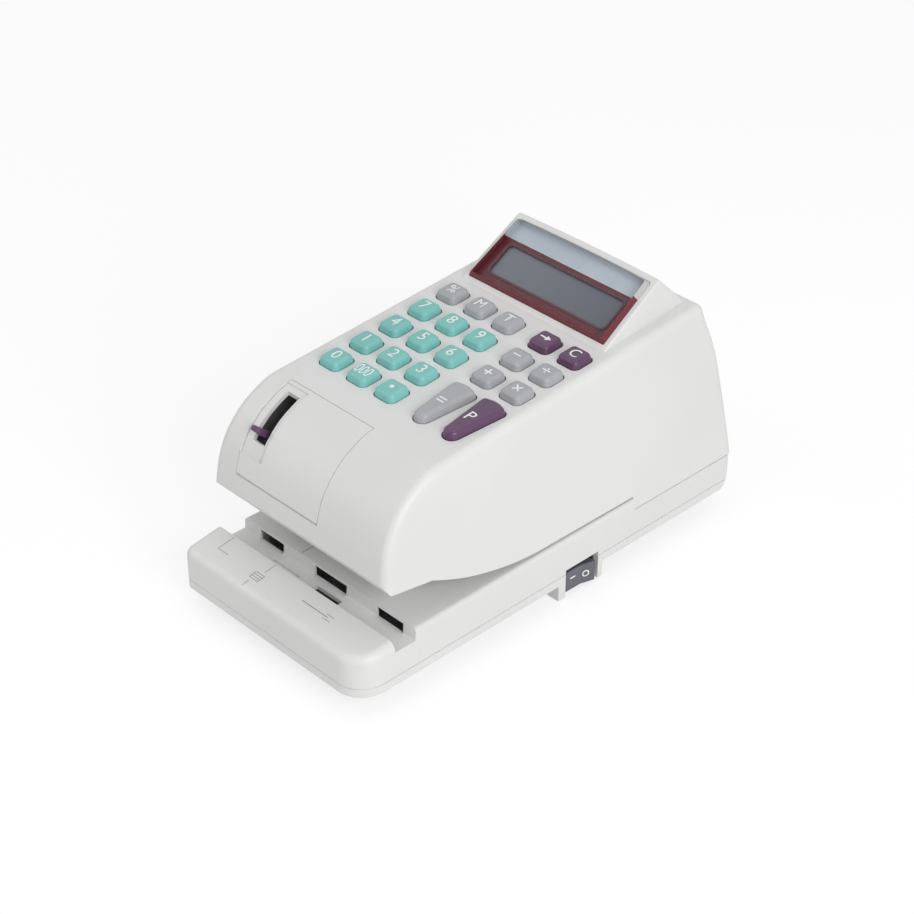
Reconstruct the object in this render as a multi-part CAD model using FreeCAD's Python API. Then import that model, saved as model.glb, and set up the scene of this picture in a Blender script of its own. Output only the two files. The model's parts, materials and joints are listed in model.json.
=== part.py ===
import FreeCAD, Part
import functools
import math
import os
from FreeCAD import Vector

# Electronic check writer. Millimetres, +Z up. Drawn with X across the machine (+X is its right side),
# Y from the front face of the table to the back and Z from the floor. Export moves the middle of the
# length to Y = 0, so the origin is the centre of the footprint.

# ---------------------------------------------------------------- driving dimensions
FOOT_RISE = 3.0               # rubber feet under the pan
PAN_DEPTH = 6.0               # pan under the base shell
WALL = 2.4                    # moulded walls of the case
BASE_WALL = 2.2               # moulded walls of the base
SEAT = 0.15                   # clearance between pieces that are fixed to each other
GAP = 0.35                    # clearance round a piece that moves in an opening
RUN_FIT = 0.05                # radial clearance of a pin or shaft in its bearing

# base, heights are rises above the lower edge of the base shell
TABLE_FRONT_RISE = 20.0
TABLE_BACK_RISE = 23.0
TABLE_DEPTH = 20.0
TABLE_INSET = 6.0             # left end of the table inside the width of the base
TABLE_ROUND = 4.0
GROOVE_RISE = 17.7
GROOVE_WIDTH = 12.0
DECK_RISE = 23.5
DECK_INSET = 11.0
DECK_ROUND = 2.0
SEAM_RISE = 18.0
FRONT_RIGHT_ROUND = 13.7
FRONT_LEFT_ROUND = 5.0
BACK_ROUND = 6.0
BACK_TUCK = 8.0               # how far the foot of the back leans in

# case, sections as rises above the same edge
NOSE_Y = 20.4
NOSE_LIP = 2.4
LIP_THICK = 0.6
NOSE_RISE = 43.6
PAD_Y = 58.0
PAD_RISE = 91.4
PAD_SLOPE = 3.8               # degrees
TOP_BACK_SETBACK = 18.0       # back edge of the top, measured from the back of the case
CUSP_Y = 46.0
CUSP_RISE = 40.0
SKIRT_RISE = 24.4
SKIRT_END = 106.0
SKIRT_STEP = 0.5
NOSE_UPRIGHT = 4.0
BACK_UPRIGHT = 4.0
# Y and rise along the nose and the underside, setback and rise down the back
NOSE_CURVE = ((21.2, 56.0), (23.1, 64.0), (26.4, 71.5), (31.6, 78.5), (38.6, 84.6), (47.2, 89.2))
SKIRT_CURVE = ((56.0, 35.6), (68.0, 31.4), (80.0, 28.4), (92.0, 26.2))
BACK_CURVE = ((13.6, 89.5), (9.2, 78.5), (4.6, 59.0), (1.5, 39.0))
BASE_FLARE = 8.6              # foot of the base beyond the top of the case, each side
SEAM_INSET = 0.6              # case inside the foot of the base, at the seam and at the nose edge
NOSE_INSET = 4.6
SIDE_TOP_RISE = 96.0
CASE_ROUND = 4.0

# display hump
HUMP_GAP = 13.13              # last row of keys to the front edge of the hump
TAIL = 76.0                   # front edge of the hump to the back of the case
HUMP_TILT = 30.4
HUMP_SLANT = 42.4
HUMP_SIDE = 7.8               # side of the hump inside the side of the case
HUMP_TAPER = 1.4
HUMP_CROWN = 0.6
HUMP_BACK_DROP = 1.0          # fall of the hump's back for each millimetre of depth
HUMP_CORNER = 1.4
HUMP_EDGE = 0.9
WINDOW_MARGIN = 3.0
WINDOW_THICK = 3.6
WINDOW_PROUD = 2.6
WINDOW_DRAFT = 1.3            # top edge of the window inside its foot
WINDOW_EDGE = 0.4
WINDOW_LEDGE = 1.5
FRAME_THICK = 1.2
LCD_SIDE = 9.3                # end of the LCD's opening inside the side of the hump
LCD_HEIGHT = 16.6
LCD_LIFT = 9.6
LCD_BORDER = 3.0
LCD_THICK = 2.4
LCD_CORNER = 2.5
BOARD_THICK = 1.6

# keys
KEY_PITCH = 18.0
KEY_ROW_PITCH = 17.78
KEY_LEFT = -36.8
KEY_ROWS = 5
KEY_SIDE = 6.95               # right column of keys to the side of the case
KEY_BLOCK_GAP = 23.1
KEY_FRONT_Y = 77.4
KEY_SIZE = 12.3
KEY_CORNER = 2.9
KEY_PROUD = 3.7
KEY_TRAVEL = 2.5
KEY_EDGE = 2.0
KEY_DRAFT = 0.9               # top of a key inside its foot, all round
KEY_GAP = 0.5                 # key to its opening
KEY_DISH = 34.0
KEY_FLANGE = 1.0
KEY_FLANGE_THICK = 1.2
KEY_SEAT = 0.3                # flange under the case at rest
KEY_STEM = 2.5
LONG_FRONT_Y = 70.2
LONG_GAP = 5.3               # long keys to the row behind them
LONG_ROWS = 2                 # rows of square keys that a long key takes the place of
LONG_BACK_HALF = 7.0
LONG_FRONT_HALF = 4.3
LONG_BACK_BOW = 0.7
KEY_BOARD_DROP = 10.2
DOME_RADIUS = 3.0
DOME_RISE = 1.2
KEY_BOARD_FRONT = 4.0
KEY_BOARD_MARGIN = 9.0        # board beyond the last row
KEY_BOARD_SIDE = 5.2
KEY_POST_IN = 2.7             # left posts inside the board's edge
BOARD_PIN = 1.2
POST_RADIUS = 2.6

# ink cover and its lever
COVER_LEFT = -41.2
COVER_RIGHT = 12.3
COVER_TOP_Y = 55.0
COVER_FOOT_RISE = 58.0
COVER_SEAM = 0.3
COVER_AXIS_DEPTH = 0.9        # hinge axis below the skin of the nose
COVER_AXLE = 0.6
COVER_AXLE_LENGTH = 3.0
EAR_WALL = 1.6
EAR_COVER = 0.3               # skin over the ears of the hinge
COVER_LUG_THICK = 3.0
SLOT_CENTRE = -33.5
SLOT_WIDTH = 8.0
SLOT_FOOT = (28.3, 74.0)      # Y and rise of the slot's ends
SLOT_TOP = (49.8, 88.6)
LEVER_PIVOT_Y = 54.0
LEVER_PIVOT_RISE = 58.0
LEVER_THICK = 3.0
LEVER_KNOB = 5.0
KNOB_RIGHT = 2.0              # right end of the knob beyond the middle of the slot
LEVER_KNOB_RADIUS = 1.4
LEVER_KNOB_PROUD = 1.6
LEVER_REST = 138.6            # degrees from +Y

LANE_MARGIN = 2.3             # lane beyond the slot's right edge
LANE_DEPTH = 0.9
LANE_BELOW = 14.0             # degrees of the lane below and above the slot
LANE_ABOVE = 6.0
SLOT_RIM = 0.8                # rim inside the slot, beyond the wall
LEVER_REACH = 30.0            # pivot to the inside of the cover
LUG_RADIUS = 4.0
LUG_GAP = 0.4

# underside of the case
THROAT_LIFT = 1.2             # throat plate above the lower edge of the case
THROAT_THICK = 2.0

# feed train under the deck
TYRE_Y = 45.2
FEED_RADIUS = 8.5
FEED_TYRE_LENGTH = 12.0
FEED_PROUD = 0.5
FEED_SPACING = 32.0
FEED_SHAFT = 2.0
FEED_CORE_RADIUS = 5.8
PULLEY_RADIUS = 4.2
MOTOR_PULLEY_RADIUS = 2.8
PULLEY_GROOVE = 4.0
PULLEY_FLANGE = 0.8
PULLEY_RIM = 1.2              # flanges beyond the groove's floor
BELT_THICK = 0.8
BELT_WIDTH = 3.4
FEED_PLATE = 1.5
FEED_PLATE_GAP = 0.6
FEED_MOTOR_X = 16.0
FEED_MOTOR_DROP = 7.6
FEED_MOTOR_RADIUS = 9.0
FEED_MOTOR_LENGTH = 22.0
MOTOR_SHAFT = 1.5
STEP_WINDOWS = ((-32.0, 16.0), (7.5, 21.0), (46.0, 16.5))   # middle and width of each
STEP_WINDOW_LIP = 0.9
STEP_WINDOW_RELIEF = 1.2
GROOVE_POCKET = ((4.0, 20.5), (21.5, 27.5))
GROOVE_DISH = ((-24.0, -6.0), (21.0, 26.0))
GROOVE_DISH_DEPTH = 0.8
PARTING_RISE = 4.3            # parting groove round the base
PARTING_WIDTH = 0.4
PARTING_DEPTH = 0.35
STEP_WINDOW_LOW = 17.0
STEP_WINDOW_HIGH = 22.3
PINCH_RADIUS = 4.5
PINCH_GAP = 0.3
PINCH_AXLE = 1.5
CHEEK_THICK = 1.6
CHEEK_MARGIN = 1.9
FIXED_FIT = 0.02              # radial clearance of a ring fixed on its core

# print unit
PRINT_X = -12.5
PRINT_Y = 80.0
PRINT_RADIUS = 12.5
PRINT_WIDTH = 9.0
PRINT_LIFT = 1.2
PRINT_SHAFT = 2.0
PRINT_MODULE = 0.8
PRINT_TEETH = 28
PRINT_PINION_TEETH = 12
PRINT_GEAR_WIDTH = 4.0
PRINT_GEAR_X = -4.0
PRINT_PLATE = 1.6
PRINT_FRAME_LEFT = -24.0
PRINT_FRAME_RIGHT = 3.0
PRINT_MOTOR_ANGLE = 45.0
PRINT_MOTOR_RADIUS = 10.0
PRINT_MOTOR_LENGTH = 22.0
INK_RADIUS = 6.0
INK_ANGLE = 150.0
INK_GAP = 0.15
INK_AXLE = 1.5
TYPE_COUNT = 13
TYPE_HEIGHT = 1.0
TYPE_HALF = 1.7
PLATEN_SIZE = (8.0, 6.0)
PLATEN_HEIGHT = 6.0
PLUNGER_RADIUS = 3.0
COIL_RADIUS = 8.0

# switch, inlet, supply
SWITCH_Y = 134.5
SWITCH_LENGTH = 21.0
SWITCH_HEIGHT = 15.0
SWITCH_LOW = 0.8
SWITCH_POSTS = (4.5, 3.0)
SWITCH_DEPTH = 11.5
SWITCH_INSET = 3.0
ROCKER_SIZE = (16.4, 10.6)
ROCKER_LOW = 2.0
ROCKER_ANGLE = 8.0
ROCKER_DEPTH = 5.8
ROCKER_PIN = 1.0
ROCKER_SETBACK = 1.8          # pivot behind the face of the switch
ROCKER_CORNER = 4.6           # pivot to the outer face at the ends of the rocker
ROCKER_WAIST = 3.5            # pivot to the fold of the outer face
ROCKER_FOLD = 1.0             # fold behind the middle of the rocker
INLET_X = -30.0
INLET_RISE = 30.0
INLET_SIZE = (22.0, 14.0)
INLET_DEPTH = 18.0
INLET_POCKET = (18.6, 8.6, 12.0)
INLET_PIN_RADIUS = 1.2
INLET_PIN_PITCH = 8.6
TRANSFORMER_SIZE = (48.0, 34.0, 34.0)
TRANSFORMER_SIDE = 42.0       # middle of the transformer inside the right side of the base
TRANSFORMER_SETBACK = 39.5
TRANSFORMER_GAP = 5.0         # winding to the end of the throat
COIL_PROUD = 7.0
MAIN_BOARD_DEPTH = 60.0
MAIN_BOARD_SIDE = 2.5         # board to the screw bosses
MAIN_BOARD_Y = 130.0
MAIN_BOARD_X = 0.0
MAIN_BOARD_LIFT = 7.0
# places from the middle of the board: chip and connector with their sizes, capacitors with radius and height
BOARD_BLOCKS = (((-6.0, 6.0), (16.0, 16.0, 2.2)), ((-8.0, -16.0), (24.0, 5.0, 6.0)))
BOARD_CANS = (((16.0, -16.0), 5.0, 12.0), ((16.0, -3.0), 4.0, 10.0), ((16.0, 10.0), 3.0, 8.0))

# feet and screws
PAN_INSET = 12.5
PAN_THICK = 2.0
FOOT_RADIUS = 7.0
FOOT_MARGIN = 2.0
SCREW_RADIUS = 1.5
SCREW_HEAD_RADIUS = 2.9
SCREW_HEAD_HEIGHT = 1.8
BOSS_RADIUS = 4.0
SCREW_INSET = 7.5             # screws from the outer face of the base
SIDE_SCREW_YS = (78.0, 155.0)
FRONT_SCREW_XS = (-30.0, 30.0)
CASE_BOSS_HEIGHT = 12.0
SCREW_END = 4.0               # tip of a screw below the top of its boss

# ---------------------------------------------------------------- overall sizes that follow
PAD_SINE = math.sin(math.radians(PAD_SLOPE))
PAD_COSINE = math.cos(math.radians(PAD_SLOPE))
LAST_COLUMN_X = KEY_LEFT + 3 * KEY_PITCH + KEY_BLOCK_GAP
LAST_ROW_Y = KEY_FRONT_Y + (KEY_ROWS - 1) * KEY_ROW_PITCH * PAD_COSINE
SIDE_TOP = LAST_COLUMN_X + KEY_SIZE / 2 + KEY_SIDE
HALF_WIDTH = SIDE_TOP + BASE_FLARE
SIDE_SEAM = HALF_WIDTH - SEAM_INSET
SIDE_NOSE = HALF_WIDTH - NOSE_INSET
TABLE_LEFT = HALF_WIDTH - TABLE_INSET
DECK_LEFT = HALF_WIDTH - DECK_INSET
HUMP_HALF_FRONT = SIDE_TOP - HUMP_SIDE
HUMP_HALF_BACK = HUMP_HALF_FRONT - HUMP_TAPER
LCD_HALF = HUMP_HALF_FRONT - LCD_SIDE
LONG_BACK_Y = KEY_FRONT_Y + LONG_ROWS * KEY_ROW_PITCH * PAD_COSINE - KEY_SIZE / 2 - LONG_GAP
HUMP_Y = LAST_ROW_Y + HUMP_GAP
LENGTH = HUMP_Y + TAIL
TRANSFORMER_X = HALF_WIDTH - TRANSFORMER_SIDE
TRANSFORMER_Y = LENGTH - TRANSFORMER_SETBACK
THROAT_END = TRANSFORMER_Y - TRANSFORMER_SIZE[1] / 2 - COIL_PROUD - TRANSFORMER_GAP
SHELL_Z = FOOT_RISE + PAN_DEPTH


def up(rise):
    """Height above the floor of a rise above the lower edge of the base shell."""
    return SHELL_Z + rise


DECK_Z = up(DECK_RISE)
SEAM_Z = up(SEAM_RISE)
STEP_Y = TABLE_DEPTH + GROOVE_WIDTH


# ---------------------------------------------------------------- small helpers
def box(x_span, y_span, z_span):
    """Box between two X, two Y and two Z values."""
    size = [span[1] - span[0] for span in (x_span, y_span, z_span)]
    return Part.makeBox(*size, Vector(x_span[0], y_span[0], z_span[0]))


def centred(middle, half):
    """Span of a half width about a middle."""
    return (middle - half, middle + half)


def rod(start, direction, radius, length):
    """Cylinder from a point along a direction."""
    return Part.makeCylinder(radius, length, Vector(*start), Vector(*direction))


def side_face(edges):
    """Face in the plane X = 0 from edges of a closed outline."""
    return Part.Face(Part.Wire(edges))


def across(face, x_from, x_to):
    """Prism of a side outline between two X values."""
    solid = face.extrude(Vector(x_to - x_from, 0, 0))
    solid.translate(Vector(x_from, 0, 0))
    return solid


def polygon(points):
    """Closed polygon face through 3-D points."""
    vectors = [Vector(*point) for point in points]
    return Part.Face(Part.makePolygon(vectors + vectors[:1]))


def side_polygon(points):
    """Closed polygon face in the plane X = 0 from (y, z) pairs."""
    return polygon([(0, y, z) for y, z in points])


def spline(points, start=None, end=None):
    """Smooth edge through (y, z) points in the plane X = 0, with optional end directions."""
    curve = Part.BSplineCurve()
    vectors = [Vector(0, y, z) for y, z in points]
    if start is None:
        curve.interpolate(vectors)
    else:
        curve.interpolate(Points=vectors, InitialTangent=Vector(0, *start), FinalTangent=Vector(0, *end))
    return curve.toShape()


def line(start, end):
    """Straight edge between two (y, z) points in the plane X = 0."""
    return Part.LineSegment(Vector(0, *start), Vector(0, *end)).toShape()


def rounded_rectangle(x_span, y_span, radius):
    """Rounded rectangle face in the plane Z = 0."""
    slab = box(x_span, y_span, (0, 1))
    corners = [edge for edge in slab.Edges if abs(edge.tangentAt(edge.FirstParameter).z) > 0.9]
    slab = slab.makeFillet(radius, corners)
    bottom = min(slab.Faces, key=lambda face: face.CenterOfMass.z)
    return Part.Face(bottom.OuterWire)


def raised(face, low, high):
    """Prism of a flat outline in the plane Z = 0 between two heights."""
    solid = face.extrude(Vector(0, 0, high - low))
    solid.translate(Vector(0, 0, low))
    return solid


def fuse(shapes):
    """One solid from overlapping shapes, with merged faces."""
    joined = shapes[0].multiFuse(shapes[1:]) if len(shapes) > 1 else shapes[0]
    return joined.removeSplitter()


def cut(shape, tools):
    """Shape less a list of tools."""
    return shape.cut(Part.makeCompound(tools)) if len(tools) == 1 else shape.cut(tools)


def edges_where(shape, test):
    """Edges of a shape whose middle point passes a test."""
    found = []
    for edge in shape.Edges:
        middle = edge.valueAt((edge.FirstParameter + edge.LastParameter) / 2)
        if test(edge, middle):
            found.append(edge)
    return found


def save(name, shapes):
    """Write one node, with the middle of the length moved to Y = 0."""
    solids = []
    for shape in shapes:
        solids.extend(shape.Solids)
    node = Part.makeCompound(solids) if len(solids) > 1 else solids[0].copy()
    node.translate(Vector(0, -LENGTH / 2, 0))
    bad = [index for index, solid in enumerate(node.Solids) if not solid.isValid()]
    print(name, "solids", len(node.Solids), "volume", round(node.Volume), "bad", bad)
    node.exportStep(os.path.join("parts", name + ".step"))


# ---------------------------------------------------------------- frame of the keypad
def pad_z(y):
    """Height of the keypad surface at a Y."""
    return up(PAD_RISE) + (y - PAD_Y) * PAD_SINE / PAD_COSINE


def on_pad(shape):
    """Place a shape drawn with its plane Z = 0 as the keypad surface and Y measured from PAD_Y."""
    placed = shape.copy()
    placed.rotate(Vector(0, 0, 0), Vector(1, 0, 0), PAD_SLOPE)
    placed.translate(Vector(0, PAD_Y, pad_z(PAD_Y)))
    return placed


def pad_v(y):
    """Distance along the keypad surface from PAD_Y to the point at a Y."""
    return (y - PAD_Y) / PAD_COSINE


# ---------------------------------------------------------------- frame of the display
TILT = math.radians(HUMP_TILT)
HUMP_ORIGIN = Vector(0, HUMP_Y, pad_z(HUMP_Y))
HUMP_NORMAL = Vector(0, -math.sin(TILT), math.cos(TILT))


def on_hump(shape):
    """Place a shape drawn with its plane Z = 0 as the display face and Y up its slope."""
    placed = shape.copy()
    placed.rotate(Vector(0, 0, 0), Vector(1, 0, 0), HUMP_TILT)
    placed.translate(HUMP_ORIGIN)
    return placed


def hump_outline(margin):
    """Face of the display hump in its own plane, less a margin all round."""
    front = margin
    back = HUMP_SLANT - margin
    half_front = HUMP_HALF_FRONT - margin
    half_back = HUMP_HALF_BACK - margin
    corner = HUMP_CORNER
    left_back = Vector(-half_back, back - corner, 0)
    left_corner = Vector(-half_back + corner * 0.3, back - corner * 0.3, 0)
    left_top = Vector(-half_back + corner, back, 0)
    right_top = Vector(half_back - corner, back, 0)
    right_corner = Vector(half_back - corner * 0.3, back - corner * 0.3, 0)
    right_back = Vector(half_back, back - corner, 0)
    edges = [
        Part.LineSegment(Vector(-half_front, front, 0), left_back).toShape(),
        Part.Arc(left_back, left_corner, left_top).toShape(),
        Part.Arc(left_top, Vector(0, back + HUMP_CROWN, 0), right_top).toShape(),
        Part.Arc(right_top, right_corner, right_back).toShape(),
        Part.LineSegment(right_back, Vector(half_front, front, 0)).toShape(),
        Part.LineSegment(Vector(half_front, front, 0), Vector(-half_front, front, 0)).toShape(),
    ]
    return Part.Face(Part.Wire(edges))


def hump_form(margin, depth):
    """Display hump: its face swept down and back, sunk by a depth below its own plane."""
    back_direction = Vector(0, 1.0, -HUMP_BACK_DROP)
    face = hump_outline(margin)
    face.translate(Vector(0, 0, -depth))
    face = on_hump(face)
    reach = LENGTH - HUMP_Y
    return face.extrude(back_direction * reach)


# ---------------------------------------------------------------- outlines of the case
def nose_points(inset):
    """Points of the nose from its foot to the keypad, moved inwards along their normals."""
    outer = [(NOSE_Y, NOSE_RISE + NOSE_UPRIGHT)] + list(NOSE_CURVE) + [(PAD_Y, PAD_RISE)]
    centre = Vector(0, LEVER_PIVOT_Y, LEVER_PIVOT_RISE)
    moved = []
    for y, rise in outer[:-1]:
        radial = Vector(0, y, rise) - centre
        radial.multiply((radial.Length - inset) / radial.Length)
        moved.append((centre.y + radial.y, up(centre.z + radial.z)))
    moved.append((PAD_Y + inset * PAD_SINE, up(PAD_RISE) - inset * PAD_COSINE))
    return moved


def nose_edge(inset):
    """Curve of the nose at a depth below its skin."""
    return spline(nose_points(inset), (2.0, 30.0), (PAD_COSINE * 40.0, PAD_SINE * 40.0))


def skirt_points(lift):
    """Points of the underside from the cusp to its flat stretch, raised by a lift."""
    outer = [(CUSP_Y, CUSP_RISE)] + list(SKIRT_CURVE) + [(SKIRT_END, SKIRT_RISE + SKIRT_STEP)]
    return [(y, up(rise) + lift) for y, rise in outer]


def skirt_edge(lift):
    """Curve of the underside, ending level."""
    return spline(skirt_points(lift), (10.0, -4.6), (10.0, -0.6))


def back_points(inset):
    """Points of the back of the case from the top edge down to the seam."""
    outer = list(BACK_CURVE) + [(0.0, SEAM_RISE + BACK_UPRIGHT)]
    top_y = LENGTH - TOP_BACK_SETBACK - inset
    top = (top_y, pad_z(top_y) - inset / PAD_COSINE)
    return [top] + [(LENGTH - setback - inset, up(rise)) for setback, rise in outer]


def case_side_face():
    """Side outline of the upper case."""
    nose, back, skirt = nose_points(0.0), back_points(0.0), skirt_points(0.0)
    foot = (NOSE_Y + NOSE_LIP, up(NOSE_RISE))
    low_corners = [back[-1], (LENGTH, SEAM_Z), (THROAT_END, SEAM_Z), (THROAT_END, up(SKIRT_RISE)), skirt[-1]]
    edges = [line(foot, nose[0]), nose_edge(0.0), line(nose[-1], back[0]), spline(back)]
    edges += [line(start, end) for start, end in zip(low_corners, low_corners[1:])]
    return side_face(edges + [skirt_edge(0.0), line(skirt[0], foot)])


def case_hollow_face():
    """Side outline of the room inside the case, open downwards."""
    start = nose_points(WALL)[0]
    back = back_points(WALL)
    foot_y = NOSE_Y + NOSE_LIP + LIP_THICK
    low = SEAM_Z - 10.0
    edges = [
        line((foot_y, low), (foot_y, start[1])), line((foot_y, start[1]), start), nose_edge(WALL),
        line(nose_points(WALL)[-1], back[0]), spline(back),
        line(back[-1], (LENGTH - WALL, low)), line((LENGTH - WALL, low), (foot_y, low)),
    ]
    return side_face(edges)


def side_walls(inset, low_rise):
    """Case width as a solid along Y: flared side walls, moved inwards by an inset."""
    low = up(low_rise)
    high = up(SIDE_TOP_RISE) + 60.0
    lean = (SIDE_TOP - SIDE_NOSE) / (SIDE_TOP_RISE - NOSE_RISE)
    flare = (SIDE_NOSE - SIDE_SEAM) / (NOSE_RISE - SEAM_RISE)
    half_high = SIDE_TOP + lean * (high - up(SIDE_TOP_RISE)) - inset
    half_low = SIDE_SEAM + flare * (low_rise - SEAM_RISE) - inset
    knots = [(half_low, low), (SIDE_SEAM - inset, SEAM_Z), (SIDE_NOSE - inset, up(NOSE_RISE)),
             (SIDE_TOP - inset, up(SIDE_TOP_RISE)), (half_high, high)]
    if low_rise == SEAM_RISE:
        knots.pop(0)
    right = Part.BSplineCurve()
    right.interpolate([Vector(x, 0, z) for x, z in knots])
    left = Part.BSplineCurve()
    left.interpolate([Vector(-x, 0, z) for x, z in knots])
    top = Part.LineSegment(Vector(-half_high, 0, high), Vector(half_high, 0, high)).toShape()
    bottom = Part.LineSegment(Vector(-half_low, 0, low), Vector(half_low, 0, low)).toShape()
    face = Part.Face(Part.Wire([bottom, right.toShape(), top, left.toShape()]))
    return face.extrude(Vector(0, LENGTH + 20.0, 0))


def case_outer():
    """Outer form of the case with its rounded edges, without the display hump."""
    form = across(case_side_face(), -HALF_WIDTH - 5.0, HALF_WIDTH + 5.0).common(side_walls(0.0, SEAM_RISE))
    form = form.removeSplitter()
    top_y = LENGTH - TOP_BACK_SETBACK

    def is_rim(edge, middle):
        size = edge.BoundBox
        runs_along = size.YLength > 3.0 or size.ZLength > 12.0
        on_side = abs(middle.x) > SIDE_TOP - 1.0 and middle.z > up(NOSE_RISE) + 2.0
        top_back = abs(middle.x) < 1.0 and abs(middle.y - top_y) < 1.5 and middle.z > pad_z(top_y) - 1.0
        return (runs_along and on_side) or top_back

    return form.makeFillet(CASE_ROUND, edges_where(form, is_rim))


def hump_outer():
    """Outer form of the display hump, standing on the keypad surface."""
    reach = LENGTH - TOP_BACK_SETBACK - HUMP_Y
    v_span = (pad_v(HUMP_Y) - 1.0, pad_v(HUMP_Y) + reach)
    above = on_pad(box((-HALF_WIDTH, HALF_WIDTH), v_span, (-WALL / 2, 60.0)))
    form = hump_form(0.0, 0.0).common(above)

    def on_rim(edge, middle):
        off_plane = abs((middle - HUMP_ORIGIN).dot(HUMP_NORMAL))
        return off_plane < 0.01 and middle.z > pad_z(HUMP_Y) + 3.0

    return form.makeFillet(HUMP_EDGE, edges_where(form, on_rim))


def hump_room():
    """Room inside the display hump, running down into the case."""
    depth = SIDE_TOP_RISE - SKIRT_RISE
    below = on_hump(box((-HALF_WIDTH, HALF_WIDTH), (WALL, HUMP_SLANT + 10.0), (-depth, 0.0)))
    back_wall = box((-HALF_WIDTH, HALF_WIDTH), (0, LENGTH - TOP_BACK_SETBACK - WALL), (SEAM_Z, up(200.0)))
    return hump_form(WALL, WALL).common(below).common(back_wall)


# ---------------------------------------------------------------- keys
SQUARE_KEYS = {
    "key_0": (0, 0), "key_000": (1, 0), "key_point": (2, 0),
    "key_1": (0, 1), "key_2": (1, 1), "key_3": (2, 1),
    "key_4": (0, 2), "key_5": (1, 2), "key_6": (2, 2), "key_plus": (3, 2), "key_times": (4, 2),
    "key_7": (0, 3), "key_8": (1, 3), "key_9": (2, 3), "key_minus": (3, 3), "key_divide": (4, 3),
    "key_percent": (0, 4), "key_memory": (1, 4), "key_total": (2, 4),
    "key_arrow": (3, 4), "key_clear": (4, 4),
}
LONG_KEYS = {"key_equals": 3, "key_print": 4}
SPLIT_COLUMN = 3              # columns from here on stand beyond the gap between the blocks


def column_x(column):
    """Middle of a key column."""
    extra = KEY_BLOCK_GAP - KEY_PITCH if column >= SPLIT_COLUMN else 0.0
    return KEY_LEFT + KEY_PITCH * column + extra


def row_v(row):
    """Middle of a key row along the keypad surface."""
    return pad_v(KEY_FRONT_Y) + KEY_ROW_PITCH * row


def square_outline(column, row, grow):
    """Outline of a square key in the keypad plane."""
    half = KEY_SIZE / 2 + grow
    return rounded_rectangle(centred(column_x(column), half), centred(row_v(row), half), KEY_CORNER + grow)


def long_outline(column, grow):
    """Outline of a long key: a round narrow front and a wide, slightly bowed back."""
    x = column_x(column)
    front_half = LONG_FRONT_HALF + grow
    back_half = LONG_BACK_HALF + grow
    front = pad_v(LONG_FRONT_Y) - grow
    back = pad_v(LONG_BACK_Y) + grow
    corner = KEY_CORNER + grow
    shoulder = back - LONG_BACK_BOW
    slack = corner * 0.3
    left_front = Vector(x - front_half, front + front_half, 0)
    right_front = Vector(x + front_half, front + front_half, 0)
    left_back = Vector(x - back_half, shoulder - corner, 0)
    right_back = Vector(x + back_half, shoulder - corner, 0)
    left_top = Vector(x - back_half + corner, shoulder, 0)
    right_top = Vector(x + back_half - corner, shoulder, 0)
    edges = [
        Part.LineSegment(left_front, left_back).toShape(),
        Part.Arc(left_back, Vector(x - back_half + slack, shoulder - slack, 0), left_top).toShape(),
        Part.Arc(left_top, Vector(x, back, 0), right_top).toShape(),
        Part.Arc(right_top, Vector(x + back_half - slack, shoulder - slack, 0), right_back).toShape(),
        Part.LineSegment(right_back, right_front).toShape(),
        Part.Arc(right_front, Vector(x, front, 0), left_front).toShape(),
    ]
    return Part.Face(Part.Wire(edges))


def drafted(outline, low, high, draft):
    """Solid from an outline, given as a function of its growth, that shrinks by a draft towards its top."""
    foot, crown = outline(0.0).OuterWire, outline(-draft).OuterWire
    foot.translate(Vector(0, 0, low))
    crown.translate(Vector(0, 0, high))
    return Part.makeLoft([foot, crown], True, True)


def key_solid(outline, flange_x, flange_v, stems):
    """Key: pillow-shaped cap, flange under the case, and stems over the domes."""
    body = raised(outline(0.0), -WALL - KEY_SEAT, 0.0)
    cap = drafted(outline, 0.0, KEY_PROUD, KEY_DRAFT)
    top = edges_where(cap, lambda edge, middle: middle.z > KEY_PROUD - 0.01)
    cap = cap.makeFillet(KEY_EDGE, top)
    flange_top = -WALL - KEY_SEAT
    flange = box(flange_x, flange_v, (flange_top - KEY_FLANGE_THICK, flange_top))
    stem_low = -KEY_BOARD_DROP + DOME_RISE + KEY_TRAVEL + KEY_SEAT
    legs = [rod((x, v, stem_low), (0, 0, 1), KEY_STEM, flange_top - stem_low) for x, v in stems]
    return fuse([body, cap, flange] + legs)


def square_key(column, row):
    """One square key with a shallow dish in its top."""
    x, v = column_x(column), row_v(row)
    half = KEY_SIZE / 2
    flange_v = centred(v, half + KEY_GAP + KEY_FLANGE)
    outline = functools.partial(square_outline, column, row)
    solid = key_solid(outline, centred(x, half - 0.5), flange_v, [(x, v)])
    flat = half - KEY_DRAFT - KEY_EDGE
    dish_depth = KEY_DISH - math.sqrt(KEY_DISH ** 2 - flat ** 2)
    ball = Part.makeSphere(KEY_DISH, Vector(x, v, KEY_PROUD + KEY_DISH - dish_depth * 0.9))
    return on_pad(solid.cut(ball))


def long_stems(column):
    """Centres of the two stems of a long key."""
    x = column_x(column)
    front, back = pad_v(LONG_FRONT_Y), pad_v(LONG_BACK_Y)
    return [(x, front + KEY_SIZE / 2), (x, back - KEY_SIZE / 2)]


def long_key(column):
    """One long key."""
    x = column_x(column)
    flange_v = (pad_v(LONG_FRONT_Y) - KEY_GAP - KEY_FLANGE, pad_v(LONG_BACK_Y) - LONG_BACK_BOW)
    outline = functools.partial(long_outline, column)
    return on_pad(key_solid(outline, centred(x, LONG_BACK_HALF - 0.5), flange_v, long_stems(column)))


def key_holes():
    """Cutters for the openings of all keys in the top of the case."""
    outlines = [square_outline(column, row, KEY_GAP) for column, row in SQUARE_KEYS.values()]
    outlines += [long_outline(column, KEY_GAP) for column in LONG_KEYS.values()]
    return [on_pad(raised(outline, -WALL - 1.0, 1.0)) for outline in outlines]


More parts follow.
